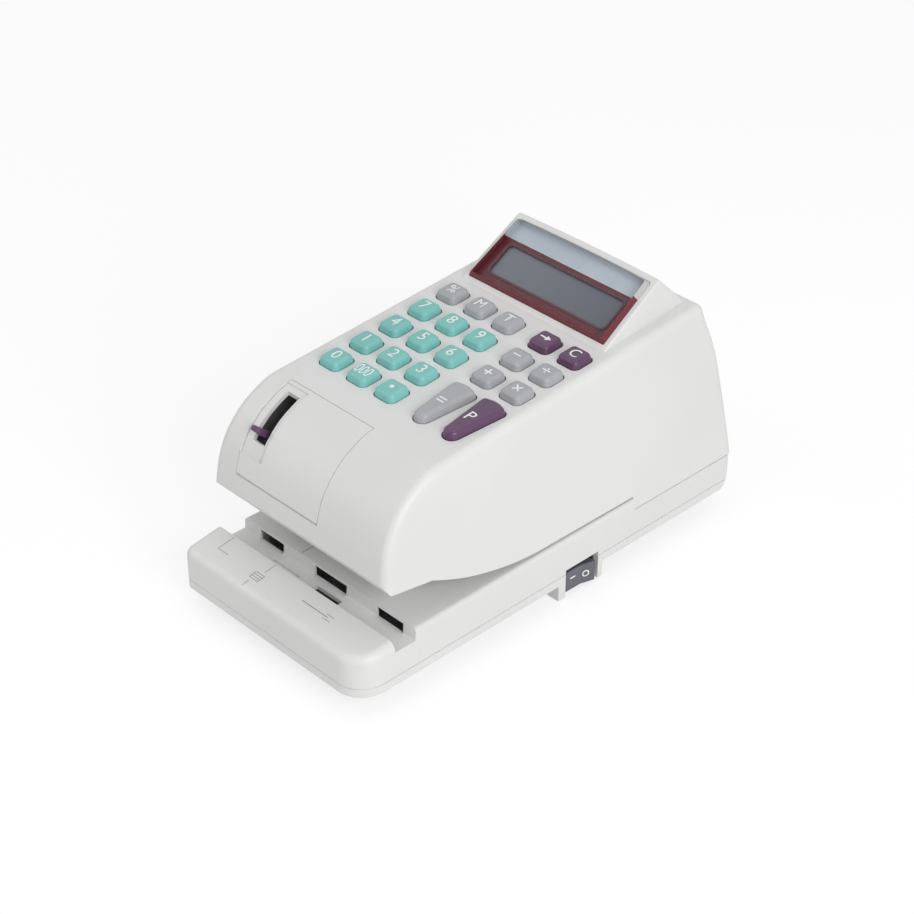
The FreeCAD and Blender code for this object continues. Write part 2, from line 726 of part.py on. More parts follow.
def stem_places():
    """Centres of all key stems, over their domes."""
    places = [(column_x(column), row_v(row)) for column, row in SQUARE_KEYS.values()]
    for column in LONG_KEYS.values():
        places += long_stems(column)
    return places


def key_board_spans():
    """X and V spans of the keypad board."""
    half = SIDE_TOP - KEY_BOARD_SIDE
    return (-half, half), (KEY_BOARD_FRONT, row_v(KEY_ROWS - 1) + KEY_BOARD_MARGIN)


def key_board_posts():
    """Centres of the posts that carry the keypad board."""
    (left, _), (front, back) = key_board_spans()
    between = column_x(SPLIT_COLUMN) - KEY_BLOCK_GAP / 2
    side = left + KEY_POST_IN
    return [(side, front + 3.2), (between, front + 3.2), (side, back - 3.0), (between, back - 3.0)]


def keypad_board():
    """Keypad circuit board with one dome under each stem."""
    spans = key_board_spans()
    board = raised(rounded_rectangle(*spans, 2.0), -KEY_BOARD_DROP - BOARD_THICK, -KEY_BOARD_DROP)
    holes = [rod((x, v, -KEY_BOARD_DROP - 5), (0, 0, 1), BOARD_PIN + SEAT, 10) for x, v in key_board_posts()]
    domes = []
    for x, v in stem_places():
        foot = Vector(x, v, -KEY_BOARD_DROP)
        domes.append(Part.makeCone(DOME_RADIUS, DOME_RADIUS - DOME_RISE, DOME_RISE, foot))
    return [on_pad(board.cut(holes))] + [on_pad(dome) for dome in domes]


def board_posts(places, top, board_top, pin_end):
    """Posts down to a board, each with a pin through it, in a frame whose Z is the board's normal."""
    posts = []
    for x, v in places:
        post = rod((x, v, board_top), (0, 0, 1), POST_RADIUS, top - board_top)
        pin = rod((x, v, pin_end), (0, 0, 1), BOARD_PIN, top - pin_end)
        posts.append(post.fuse(pin))
    return posts


# ---------------------------------------------------------------- display
def window_outline(shrink):
    """Outline of the display window, shrunk all round."""
    return hump_outline(WINDOW_MARGIN + shrink)


def display_window():
    """Clear window, proud of the hump."""
    foot = raised(window_outline(0.0), WINDOW_PROUD - WINDOW_THICK, 0.0)
    plate = drafted(lambda grow: window_outline(-grow), 0.0, WINDOW_PROUD, WINDOW_DRAFT)
    rim = edges_where(plate, lambda edge, middle: middle.z > WINDOW_PROUD - 0.01)
    return on_hump(fuse([foot, plate.makeFillet(WINDOW_EDGE, rim)]))


def lcd_outline(grow):
    """Outline of the visible part of the LCD in the display plane."""
    return rounded_rectangle(centred(0.0, LCD_HALF + grow), (LCD_LIFT - grow, LCD_LIFT + LCD_HEIGHT + grow),
                             LCD_CORNER)


FRAME_TOP = WINDOW_PROUD - WINDOW_THICK - 0.05


def display_frame():
    """Printed frame behind the window, open over the LCD."""
    plate = raised(window_outline(WINDOW_LEDGE + SEAT), FRAME_TOP - FRAME_THICK, FRAME_TOP)
    plate = plate.cut(raised(lcd_outline(0.0), FRAME_TOP - FRAME_THICK - 1.0, FRAME_TOP + 1.0))
    foot = LCD_BOARD_TOP - BOARD_THICK - 1.0
    posts = board_posts(lcd_posts(), FRAME_TOP - FRAME_THICK / 2, LCD_BOARD_TOP, foot)
    return on_hump(fuse([plate] + posts))


LCD_TOP = FRAME_TOP - FRAME_THICK - SEAT
LCD_BOARD_TOP = LCD_TOP - LCD_THICK - SEAT


def lcd_panel():
    """LCD glass under the opening of the frame."""
    return on_hump(raised(lcd_outline(LCD_BORDER), LCD_TOP - LCD_THICK, LCD_TOP))


def lcd_posts():
    """Centres of the posts that carry the LCD board, beyond the glass."""
    v = LCD_LIFT + LCD_HEIGHT + LCD_BORDER + POST_RADIUS + 1.0
    return [(-LCD_HALF + 4.0, v), (0.0, v), (LCD_HALF - 4.0, v)]


def lcd_board():
    """Circuit board behind the LCD."""
    half = LCD_HALF + LCD_BORDER
    top = lcd_posts()[0][1] + POST_RADIUS + 0.6
    plate = box((-half, half), (LCD_LIFT, top), (LCD_BOARD_TOP - BOARD_THICK, LCD_BOARD_TOP))
    holes = [rod((x, v, LCD_BOARD_TOP - 5), (0, 0, 1), BOARD_PIN + SEAT, 10) for x, v in lcd_posts()]
    return on_hump(plate.cut(holes))


# ---------------------------------------------------------------- ink cover
COVER_FOOT_Z = up(COVER_FOOT_RISE)


def nose_y_at(z, inset):
    """Y of the nose's skin, or of a depth below it, at a height."""
    skin = nose_edge(inset)
    level = Part.makeLine(Vector(0, 0, z), Vector(0, PAD_Y, z))
    distance, pairs, _ = skin.distToShape(level)
    return pairs[0][0].y


COVER_AXIS_Y = nose_y_at(COVER_FOOT_Z, COVER_AXIS_DEPTH)


def nose_skin(outer_inset, inner_inset):
    """Side outline of a band of the nose's wall between two depths, up to the keypad."""
    outer = nose_points(outer_inset)
    inner = nose_points(inner_inset)
    edges = [nose_edge(outer_inset), line(outer[-1], inner[-1]),
             nose_edge(inner_inset), line(inner[0], outer[0])]
    return side_face(edges)


def cover_region(seam):
    """Region of the nose that the ink cover takes, grown by a seam on every side."""
    x_span = (COVER_LEFT - seam, COVER_RIGHT + seam)
    return box(x_span, (0, COVER_TOP_Y + seam), (COVER_FOOT_Z - seam, up(PAD_RISE + 20)))


def hinge_round(radius, x_from, x_to):
    """Cylinder about the cover's hinge axis."""
    return rod((x_from, COVER_AXIS_Y, COVER_FOOT_Z), (1, 0, 0), radius, x_to - x_from)


def cover_opening():
    """Cutters for the ink cover's opening in the case."""
    body = cover_region(COVER_SEAM)
    clear = hinge_round(COVER_AXIS_DEPTH + COVER_SEAM, COVER_LEFT - COVER_SEAM, COVER_RIGHT + COVER_SEAM)
    sill_z = COVER_FOOT_Z - COVER_AXIS_DEPTH - COVER_SEAM
    x_span = (COVER_LEFT - COVER_SEAM, COVER_RIGHT + COVER_SEAM)
    groove = box(x_span, (0, COVER_AXIS_Y), (sill_z, COVER_FOOT_Z))
    holes = [hinge_round(COVER_AXLE + RUN_FIT, COVER_LEFT - COVER_AXLE_LENGTH - 0.3, COVER_LEFT),
             hinge_round(COVER_AXLE + RUN_FIT, COVER_RIGHT, COVER_RIGHT + COVER_AXLE_LENGTH + 0.3)]
    return [body, clear, groove] + holes


def hinge_ears():
    """Thickening of the nose's wall around the ends of the hinge pins."""
    length = COVER_AXLE_LENGTH + 1.5
    radius = COVER_AXLE + EAR_WALL
    y_span = (COVER_AXIS_Y - COVER_AXIS_DEPTH, COVER_AXIS_Y + COVER_AXIS_DEPTH + WALL)
    ears = []
    for x in (COVER_LEFT - COVER_SEAM - length, COVER_RIGHT + COVER_SEAM):
        ear = box((x, x + length), y_span, centred(COVER_FOOT_Z, radius))
        ears.append(ear.common(across(nose_skin(EAR_COVER, 2.0 * WALL), x, x + length)))
    return ears


def slot_angle(point):
    """Direction of a slot end from the lever's pivot, in degrees from +Y."""
    return math.degrees(math.atan2(point[1] - LEVER_PIVOT_RISE, point[0] - LEVER_PIVOT_Y))


def wedge(centre_y, centre_z, radius, low_angle, high_angle, x_from, x_to):
    """Sector of a disc about an X axis, between two angles from +Y."""
    sector = Part.makeCylinder(radius, x_to - x_from, Vector(0, 0, 0), Vector(0, 0, 1),
                               high_angle - low_angle)
    sector.rotate(Vector(0, 0, 0), Vector(0, 0, 1), low_angle)
    sector.rotate(Vector(0, 0, 0), Vector(1, 1, 1), 120)
    sector.translate(Vector(x_from, centre_y, centre_z))
    return sector


LEVER_Z = up(LEVER_PIVOT_RISE)


def lever_lugs():
    """Two arms inside the cover that carry the lever's pivot."""
    lugs = []
    half = LEVER_THICK / 2 + LUG_GAP
    for inner, outer in ((-half - COVER_LUG_THICK, -half), (half, half + COVER_LUG_THICK)):
        x_from, x_to = SLOT_CENTRE + inner, SLOT_CENTRE + outer
        top = (LEVER_PIVOT_Y - LUG_RADIUS, LEVER_Z + LUG_RADIUS)
        arm = side_polygon([top, (LEVER_PIVOT_Y, LEVER_Z - LUG_RADIUS), (COVER_AXIS_Y + 1.2, LEVER_Z + 1.0),
                            (COVER_AXIS_Y + 1.2, LEVER_Z + 3.0 * LUG_RADIUS)])
        boss = rod((x_from, LEVER_PIVOT_Y, LEVER_Z), (1, 0, 0), LUG_RADIUS, x_to - x_from)
        outside = across(nose_skin(-3.0, LANE_DEPTH + 0.3), x_from - 1.0, x_to + 1.0)
        lugs += [across(arm, x_from, x_to).cut(outside), boss]
    return lugs


def ink_cover():
    """Ink cover with its hinge pins, lane, slot and the lever's lugs."""
    body = cover_region(0.0)
    skin = across(nose_skin(0.0, WALL), COVER_LEFT, COVER_RIGHT).common(body)
    barrel = hinge_round(COVER_AXIS_DEPTH, COVER_LEFT, COVER_RIGHT)
    pins = hinge_round(COVER_AXLE, COVER_LEFT - COVER_AXLE_LENGTH, COVER_RIGHT + COVER_AXLE_LENGTH)
    lane_right = SLOT_CENTRE + SLOT_WIDTH / 2 + LANE_MARGIN
    lane_low = slot_angle(SLOT_FOOT) + LANE_BELOW
    lane_high = slot_angle(SLOT_TOP) - LANE_ABOVE
    lane = wedge(LEVER_PIVOT_Y, LEVER_Z, 60, lane_high, lane_low, COVER_LEFT - 1.0, lane_right)
    lane = lane.common(across(nose_skin(-2.0, LANE_DEPTH), COVER_LEFT - 1.0, COVER_RIGHT))
    slot = wedge(LEVER_PIVOT_Y, LEVER_Z, 60, slot_angle(SLOT_TOP), slot_angle(SLOT_FOOT),
                 SLOT_CENTRE - SLOT_WIDTH / 2, SLOT_CENTRE + SLOT_WIDTH / 2)
    backing = wedge(LEVER_PIVOT_Y, LEVER_Z, 60, lane_high - 2.0, lane_low + 2.0,
                    COVER_LEFT, lane_right + WALL)
    inner_skin = across(nose_skin(WALL - 0.3, WALL + SLOT_RIM), COVER_LEFT, COVER_RIGHT)
    backing = backing.common(inner_skin).common(body)
    room = across(nose_skin(-3.0, WALL + SLOT_RIM + 0.5), COVER_LEFT, COVER_RIGHT)
    cover = fuse([skin, barrel, pins, backing] + lever_lugs())
    pivot = rod((SLOT_CENTRE - 8, LEVER_PIVOT_Y, LEVER_Z), (1, 0, 0), PINCH_AXLE + RUN_FIT, 16)
    return cover.cut([lane, slot.common(room), pivot])


def ink_lever():
    """Lever on the cover's lugs: a hub, an arm and a knob outside the slot."""
    x_from, x_to = SLOT_CENTRE - LEVER_THICK / 2, SLOT_CENTRE + LEVER_THICK / 2
    angle = math.radians(LEVER_REST)
    along = Vector(0, math.cos(angle), math.sin(angle))
    side = Vector(0, -along.z, along.y)
    pivot = Vector(0, LEVER_PIVOT_Y, LEVER_Z)
    skin = LEVER_REACH + WALL + LEVER_KNOB_PROUD
    tip = pivot + along * skin
    corners = [pivot + side * 2.4, pivot - side * 2.4, tip - side * 1.4, tip + side * 1.4]
    arm = across(polygon(corners), x_from, x_to)
    hub = rod((x_from, LEVER_PIVOT_Y, LEVER_Z), (1, 0, 0), LUG_RADIUS - 0.5, LEVER_THICK)
    reach = LEVER_THICK / 2 + LUG_GAP + COVER_LUG_THICK
    pin = rod((SLOT_CENTRE - reach, LEVER_PIVOT_Y, LEVER_Z), (1, 0, 0), PINCH_AXLE, 2 * reach)
    knob_x = SLOT_CENTRE + KNOB_RIGHT - LEVER_KNOB
    knob = rod((knob_x, tip.y, tip.z), (1, 0, 0), LEVER_KNOB_RADIUS, LEVER_KNOB)
    ends = [edge for edge in knob.Edges if edge.Length > 5.0 and edge.Closed]
    return fuse([arm, hub, pin, knob.makeFillet(0.6, ends)])


# ---------------------------------------------------------------- underside of the case
def underside_z(y):
    """Height of the case's lower edge at a Y in front of its flat stretch."""
    if y < CUSP_Y:
        share = (y - NOSE_Y - NOSE_LIP) / (CUSP_Y - NOSE_Y - NOSE_LIP)
        return up(NOSE_RISE + (CUSP_RISE - NOSE_RISE) * share)
    if y > skirt_points(0.0)[-1][0]:
        return up(SKIRT_RISE)
    upright = Part.makeLine(Vector(0, y, SHELL_Z), Vector(0, y, up(NOSE_RISE)))
    return skirt_edge(0.0).distToShape(upright)[1][0][0].z


def throat_band(low, high):
    """Side outline of a band above the case's lower edge."""
    front = NOSE_Y + NOSE_LIP + WALL + SEAT
    back = THROAT_END - 1.0
    corners = []
    for lift in (low, high):
        points = skirt_points(lift)
        corners.append([(front, underside_z(front) + lift), points[0], points[-1],
                        (back, up(SKIRT_RISE) + lift)])
    (a, b, c, d), (e, f, g, h) = corners
    straight = [line(a, b), line(c, d), line(d, h), line(h, g), line(f, e), line(e, a)]
    return side_face(Part.__sortEdges__(straight + [skirt_edge(low), skirt_edge(high)]))


FEED_XS = (-FEED_SPACING, 0.0, FEED_SPACING)
FEED_Z = DECK_Z + FEED_PROUD - FEED_RADIUS
TYRE_END_Y = TYRE_Y + FEED_TYRE_LENGTH
PINCH_Z = FEED_Z + FEED_RADIUS + PINCH_GAP + PINCH_RADIUS


def pinch_cheeks(x):
    """Two brackets under the throat plate that carry one pinch roller."""
    half = PINCH_AXLE + CHEEK_MARGIN
    cheeks = []
    for low in (TYRE_Y - GAP - CHEEK_THICK, TYRE_END_Y + GAP):
        top = underside_z(low + CHEEK_THICK / 2) + THROAT_LIFT + THROAT_THICK / 2
        cheeks.append(box(centred(x, half), (low, low + CHEEK_THICK), (PINCH_Z - half + 0.6, top)))
    return cheeks


def throat_plate():
    """Underside of the case over the paper, with the pinch roller brackets and the print window."""
    plate = across(throat_band(THROAT_LIFT, THROAT_LIFT + THROAT_THICK), -HALF_WIDTH, HALF_WIDTH)
    plate = plate.common(side_walls(WALL + SEAT, SEAM_RISE))
    cheeks = [cheek for x in FEED_XS for cheek in pinch_cheeks(x)]
    axle_y = TYRE_Y - GAP - CHEEK_THICK - 1.0
    bores = [rod((x, axle_y, PINCH_Z), (0, 1, 0), PINCH_AXLE + RUN_FIT, FEED_TYRE_LENGTH + 6.0)
             for x in FEED_XS]
    window = box((PRINT_X - PRINT_WIDTH / 2 - 1.0, PRINT_GEAR_X + PRINT_GEAR_WIDTH + 1.0),
                 centred(PRINT_Y, PRINT_RADIUS + 0.6), (SHELL_Z, up(CUSP_RISE)))
    return fuse([plate] + cheeks).cut(bores + [window])


# ---------------------------------------------------------------- upper case
BACK_SCREW_YS = (THROAT_END + SCREW_INSET, LENGTH - 3.0 * SCREW_INSET)
SCREW_X = HALF_WIDTH - SCREW_INSET
DECK_SCREW_X = DECK_LEFT - SCREW_INSET + 1.0
MAIN_BOARD_HALF = DECK_SCREW_X - BOSS_RADIUS - MAIN_BOARD_SIDE


def case_bosses():
    """Screw bosses of the case over the back screws, joined to its side walls."""
    bosses = []
    for side in (-1, 1):
        for y in BACK_SCREW_YS:
            boss = rod((side * SCREW_X, y, SEAM_Z), (0, 0, 1), BOSS_RADIUS, CASE_BOSS_HEIGHT)
            x_span = sorted((side * SCREW_X, side * HALF_WIDTH))
            bosses += [boss, box(x_span, centred(y, 1.2), (SEAM_Z, SEAM_Z + CASE_BOSS_HEIGHT))]
    return bosses


def case_boss_holes():
    """Screw holes in the bosses of the case."""
    holes = []
    for side in (-1, 1):
        for y in BACK_SCREW_YS:
            hole = (side * SCREW_X, y, SEAM_Z - 1.0)
            holes.append(rod(hole, (0, 0, 1), SCREW_RADIUS + SEAT / 2, CASE_BOSS_HEIGHT))
    return holes


def display_cuts():
    """Recess, opening and LCD room in the display hump."""
    recess = raised(window_outline(-SEAT), WINDOW_PROUD - WINDOW_THICK, WINDOW_PROUD + 1.0)
    opening = raised(window_outline(WINDOW_LEDGE), -WALL - FRAME_THICK, 1.0)
    room = raised(lcd_outline(LCD_BORDER + SEAT), LCD_BOARD_TOP - BOARD_THICK - 1.0, 0.0)
    return [on_hump(recess), on_hump(opening), on_hump(room)]


def inlet_box(grow):
    """Space of the power inlet in the back wall."""
    width, height = INLET_SIZE
    y_span = (LENGTH - INLET_DEPTH - 1.0 - grow, LENGTH - 1.0 + (30.0 if grow else 0.0))
    return box(centred(INLET_X, width / 2 + grow), y_span, centred(up(INLET_RISE), height / 2 + grow))


def upper_case():
    """Upper case with the display hump, hollow and open below."""
    outer = fuse([case_outer(), hump_outer()])
    room = across(case_hollow_face(), -HALF_WIDTH - 5.0, HALF_WIDTH + 5.0)
    room = room.common(side_walls(WALL, SEAM_RISE - 8.0))
    shell = outer.cut([room, hump_room()])
    posts = board_posts(key_board_posts(), -WALL / 2, -KEY_BOARD_DROP, -KEY_BOARD_DROP - BOARD_THICK - 1.5)
    bosses = [boss.common(side_walls(WALL / 2, SEAM_RISE)) for boss in case_bosses()]
    shell = fuse([shell] + [on_pad(post) for post in posts] + hinge_ears() + bosses)
    cuts = key_holes() + display_cuts() + cover_opening() + case_boss_holes() + [inlet_box(SEAT)]
    return shell.cut(cuts)


# ---------------------------------------------------------------- base
def plan_slab(inset, low, high):
    """Plan of the base, moved inwards by an inset, as a slab between two heights."""
    left_front, left_deck, side = -TABLE_LEFT + inset, -DECK_LEFT + inset, HALF_WIDTH - inset
    corners = [(left_front, inset), (side, inset), (side, LENGTH - inset), (-side, LENGTH - inset),
               (-side, THROAT_END + inset), (left_deck, THROAT_END + inset), (left_deck, TABLE_DEPTH - inset),
               (left_front, TABLE_DEPTH - inset)]
    slab = polygon([(x, y, low) for x, y in corners]).extrude(Vector(0, 0, high - low))

    def upright(x, y):
        return edges_where(slab, lambda edge, middle: abs(middle.x - x) < 0.01 and abs(middle.y - y) < 0.01)

    slab = slab.makeFillet(FRONT_RIGHT_ROUND - inset, upright(side, inset))
    slab = slab.makeFillet(FRONT_LEFT_ROUND - inset, upright(left_front, inset))
    return slab.makeFillet(BACK_ROUND - inset, upright(side, LENGTH - inset) + upright(-side, LENGTH - inset))


def base_side_face():
    """Side outline of the base: table, groove, deck and the low back."""
    table_front, table_back = up(TABLE_FRONT_RISE), up(TABLE_BACK_RISE)
    groove, back_top = up(GROOVE_RISE), SEAM_Z - SEAT
    step_draft = 0.4
    tuck = [(LENGTH, back_top - 4.0), (LENGTH - BACK_TUCK * 0.18, up(11.0)),
            (LENGTH - BACK_TUCK * 0.55, up(3.6)), (LENGTH - BACK_TUCK, SHELL_Z)]
    corners = [(0, SHELL_Z), (0, table_front), (TABLE_DEPTH, table_back), (TABLE_DEPTH + step_draft, groove),
               (STEP_Y, groove), (STEP_Y + step_draft, DECK_Z), (THROAT_END - SEAT, DECK_Z),
               (THROAT_END - SEAT, back_top), (LENGTH, back_top), tuck[0]]
    edges = [line(start, end) for start, end in zip(corners, corners[1:])]
    edges += [spline(tuck), line(tuck[-1], corners[0])]
    return side_face(edges)


def base_outer():
    """Outer form of the base with its rounded edges."""
    form = across(base_side_face(), -HALF_WIDTH, HALF_WIDTH).common(plan_slab(0.0, SHELL_Z, DECK_Z + 1.0))
    form = form.removeSplitter()

    def on_table_rim(edge, middle):
        on_top = middle.z > up(TABLE_FRONT_RISE) - 0.05
        inside = abs(middle.x) < HALF_WIDTH / 2 and middle.y > 1.0
        return on_top and middle.y < TABLE_DEPTH - 0.5 and not inside

    def on_deck_side(edge, middle):
        outer = middle.x > HALF_WIDTH - 0.1 or abs(middle.x + DECK_LEFT) < 0.1
        return outer and abs(middle.z - DECK_Z) < 0.01 and edge.BoundBox.YLength > STEP_Y

    form = form.makeFillet(TABLE_ROUND, edges_where(form, on_table_rim))
    return form.makeFillet(DECK_ROUND, edges_where(form, on_deck_side))


BASE_BACK_Y = LENGTH - BACK_TUCK - BASE_WALL


def base_room():
    """Room inside the base, open below."""
    low = SHELL_Z - 1.0
    table_top = up(TABLE_FRONT_RISE) - BASE_WALL
    groove_top = up(GROOVE_RISE) - BASE_WALL
    deck_top, back_top = DECK_Z - BASE_WALL, SEAM_Z - SEAT - BASE_WALL
    deck_end = THROAT_END - SEAT - BASE_WALL
    outline = side_polygon([
        (0, low), (0, table_top), (TABLE_DEPTH - BASE_WALL, table_top), (TABLE_DEPTH - BASE_WALL, groove_top),
        (STEP_Y + BASE_WALL, groove_top), (STEP_Y + BASE_WALL, deck_top), (deck_end, deck_top),
        (deck_end, back_top), (BASE_BACK_Y, back_top), (BASE_BACK_Y, low)])
    return across(outline, -HALF_WIDTH, HALF_WIDTH).common(plan_slab(BASE_WALL, low, DECK_Z))


def parting_groove():
    """Shallow groove round the outside of the base."""
    low, high = up(PARTING_RISE), up(PARTING_RISE) + PARTING_WIDTH
    return plan_slab(0.0, low, high).cut(plan_slab(PARTING_DEPTH, low - 1.0, high + 1.0))


def step_windows():
    """Windows in the step, the pocket and dish in the groove and the deck's openings over the tyres."""
    wall = (STEP_Y - 1.0, STEP_Y + BASE_WALL + 1.0)
    rise = (up(STEP_WINDOW_LOW), up(STEP_WINDOW_HIGH))
    behind = (STEP_Y + STEP_WINDOW_LIP, STEP_Y + BASE_WALL + 1.0)
    through_rise = (up(GROOVE_RISE) - BASE_WALL - 1.0, up(GROOVE_RISE) + 1.0)
    cutters = [box(centred(x, width / 2), wall, rise) for x, width in STEP_WINDOWS]
    cutters += [box(centred(x, width / 2 + STEP_WINDOW_RELIEF), behind, (through_rise[0], rise[1]))
                for x, width in STEP_WINDOWS]
    cutters.append(box(*GROOVE_POCKET, through_rise))
    cutters.append(box(*GROOVE_DISH, (up(GROOVE_RISE) - GROOVE_DISH_DEPTH, up(GROOVE_RISE) + 1.0)))
    for x in FEED_XS:
        opening = rod((x, TYRE_Y - GAP, FEED_Z), (0, 1, 0), FEED_RADIUS + GAP, FEED_TYRE_LENGTH + 2 * GAP)
        cutters.append(opening)
    return cutters


def case_screw_places():
    """X and Y of the long screws that reach up into the case."""
    return [(side * SCREW_X, y) for side in (-1, 1) for y in BACK_SCREW_YS]


def base_screw_places():
    """X, Y and boss top of the short screws that end in the base."""
    deck_under = DECK_Z - BASE_WALL / 2
    table_under = up(TABLE_FRONT_RISE) - BASE_WALL / 2
    places = [(x, y, deck_under) for y in SIDE_SCREW_YS for x in (-DECK_SCREW_X, SCREW_X)]
    return places + [(x, SCREW_INSET, table_under) for x in FRONT_SCREW_XS]


SWITCH_BACK_X = HALF_WIDTH - SWITCH_DEPTH
SWITCH_SPAN = centred(SWITCH_Y, SWITCH_LENGTH / 2)


def switch_housing():
    """Walls round the switch, hanging below the right side of the base."""
    y_span = (SWITCH_SPAN[0] - SWITCH_POSTS[0], SWITCH_SPAN[1] + SWITCH_POSTS[1])
    return box((SWITCH_BACK_X, HALF_WIDTH), y_span, (SWITCH_LOW, SWITCH_LOW + SWITCH_HEIGHT + 1.6))


def base_shell():
    """Base shell with table, deck, windows, screw bosses and the switch housing."""
    shell = base_outer().cut(base_room())
    boss_foot = SHELL_Z + PAN_THICK
    tops = [(x, y, SEAM_Z - SEAT) for x, y in case_screw_places()] + base_screw_places()
    bosses = [rod((x, y, boss_foot), (0, 0, 1), BOSS_RADIUS, top - boss_foot) for x, y, top in tops]
    bores = [(x, y, SEAM_Z) for x, y in case_screw_places()]
    bores += [(x, y, top - SCREW_END + 1.0) for x, y, top in base_screw_places()]
    holes = [rod((x, y, SHELL_Z), (0, 0, 1), SCREW_RADIUS + SEAT, top - SHELL_Z) for x, y, top in bores]
    shell = fuse([shell, switch_housing()] + bosses)
    notch_z = (SWITCH_LOW - 1.0, SWITCH_LOW + SWITCH_HEIGHT)
    notch = box((SWITCH_BACK_X + 1.5, HALF_WIDTH + 1.0), SWITCH_SPAN, notch_z)
    platen = box(centred(PRINT_X, PLATEN_SIZE[0] / 2 + GAP), centred(PRINT_Y, PLATEN_SIZE[1] / 2 + GAP),
                 (SHELL_Z, DECK_Z + 1.0))
    cable_hole = box(centred(INLET_X, 12.0), centred(TRANSFORMER_Y, 9.0), (SHELL_Z, SEAM_Z + 1.0))
    return shell.cut(step_windows() + holes + [parting_groove(), notch, platen, cable_hole])


PAN_BACK_Y = BASE_BACK_Y - SEAT
TRAY_X = (-DECK_LEFT + PAN_INSET, HALF_WIDTH - PAN_INSET)
TRAY_Y = (PAN_INSET, PAN_BACK_Y - PAN_INSET / 2)
TRAY_FLOOR_Z = FOOT_RISE + PAN_THICK


def board_post_places():
    """Centres of the posts that carry the main board."""
    half_x, half_y = MAIN_BOARD_HALF - 4.5, MAIN_BOARD_DEPTH / 2 - 4.5
    return [(MAIN_BOARD_X + i * (half_x - 3.0), MAIN_BOARD_Y + j * half_y) for i in (-1, 1) for j in (-1, 1)]


def foot_places():
    """Centres of the rubber feet."""
    inset = FOOT_RADIUS + FOOT_MARGIN
    return [(x, y) for x in (TRAY_X[0] + inset, TRAY_X[1] - inset)
            for y in (TRAY_Y[0] + inset, TRAY_Y[1] - inset)]


def tray_slab(inset, low, high):
    """Plan of the pan's tray as a slab."""
    x_span = (TRAY_X[0] + inset, TRAY_X[1] - inset)
    y_span = (TRAY_Y[0] + inset, TRAY_Y[1] - inset)
    return raised(rounded_rectangle(x_span, y_span, 8.0 - inset), low, high)


def bottom_pan():
    """Bottom pan: a flange inside the base and a tray below it, with the main board's posts."""
    high = SHELL_Z + PAN_THICK
    flange = plan_slab(BASE_WALL + SEAT, SHELL_Z, high)
    flange = flange.common(box((-HALF_WIDTH, HALF_WIDTH), (0, PAN_BACK_Y), (SHELL_Z, high)))
    pan = fuse([flange, tray_slab(0.0, FOOT_RISE, high)]).cut(tray_slab(PAN_THICK, TRAY_FLOOR_Z, high + 1.0))
    posts = []
    board_z = TRAY_FLOOR_Z + MAIN_BOARD_LIFT
    for x, y in board_post_places():
        posts.append(rod((x, y, FOOT_RISE + 0.5), (0, 0, 1), POST_RADIUS, board_z - FOOT_RISE - 0.5))
        pin_length = board_z + BOARD_THICK + 1.0 - FOOT_RISE
        posts.append(rod((x, y, FOOT_RISE + 0.5), (0, 0, 1), BOARD_PIN, pin_length))
    screws = case_screw_places() + [place[:2] for place in base_screw_places()]
    holes = [rod((x, y, 0), (0, 0, 1), SCREW_RADIUS + SEAT, high + 1.0) for x, y in screws]
    housing = switch_housing()
    x_span = (SWITCH_BACK_X - SEAT, HALF_WIDTH)
    y_span = (housing.BoundBox.YMin - SEAT, housing.BoundBox.YMax + SEAT)
    return fuse([pan] + posts).cut(holes + [box(x_span, y_span, (0, high + 1.0))])


def rubber_feet():
    """Rubber feet under the tray, slightly tapered."""
    return [Part.makeCone(FOOT_RADIUS - 0.6, FOOT_RADIUS, FOOT_RISE, Vector(x, y, 0))
            for x, y in foot_places()]


def case_screws():
    """Screws through the pan: short ones into the base, long ones into the case."""
    screws = []
    tips = [(x, y, SEAM_Z + CASE_BOSS_HEIGHT - SCREW_END) for x, y in case_screw_places()]
    tips += [(x, y, top - SCREW_END) for x, y, top in base_screw_places()]
    for x, y, tip in tips:
        low = SHELL_Z - SCREW_HEAD_HEIGHT
        head = rod((x, y, low), (0, 0, 1), SCREW_HEAD_RADIUS, SCREW_HEAD_HEIGHT)
        shank = rod((x, y, low), (0, 0, 1), SCREW_RADIUS, tip - low)
        slot = box(centred(x, 0.4), centred(y, 2.0), (0, low + 0.8))
        screws.append(head.fuse(shank).removeSplitter().cut(slot))
    return screws


# ---------------------------------------------------------------- gears
TOOTH_SHARE = 0.42            # tooth width at the pitch circle as a share of the pitch
ADDENDUM = 0.85
DEDENDUM = 1.15


def pitch_radius(teeth, module):
    """Pitch radius of a gear."""
    return teeth * module / 2


def gear_face(teeth, module, phase):
    """Toothed outline in the plane Z = 0 with one tooth centred at an angle in degrees."""
    pitch = 360.0 / teeth
    radius = pitch_radius(teeth, module)
    root, tip = radius - DEDENDUM * module, radius + ADDENDUM * module
    points = []
    for tooth in range(teeth):
        middle = phase + tooth * pitch
        for offset, reach in ((-0.36, root), (-0.13, tip), (0.13, tip), (0.36, root)):
            angle = math.radians(middle + offset * pitch * TOOTH_SHARE / 0.5)
            points.append((reach * math.cos(angle), reach * math.sin(angle), 0))
    return polygon(points)


def mesh_phase(teeth, phase, partner_teeth, direction):
    """Phase of a partner gear that meshes with a gear when it lies in a direction from it."""
    pitch, partner_pitch = 360.0 / teeth, 360.0 / partner_teeth
    share = ((direction - phase) / pitch) % 1.0
    return direction + 180.0 - (0.5 - share) * partner_pitch


def along_y(shape, x, y, z):
    """Place a shape drawn in (X, Y) about Z so that it lies in (X, Z) about an axis towards +Y."""
    placed = shape.copy()
    placed.rotate(Vector(0, 0, 0), Vector(1, 0, 0), 90)
    placed.translate(Vector(x, y, z))
    return placed


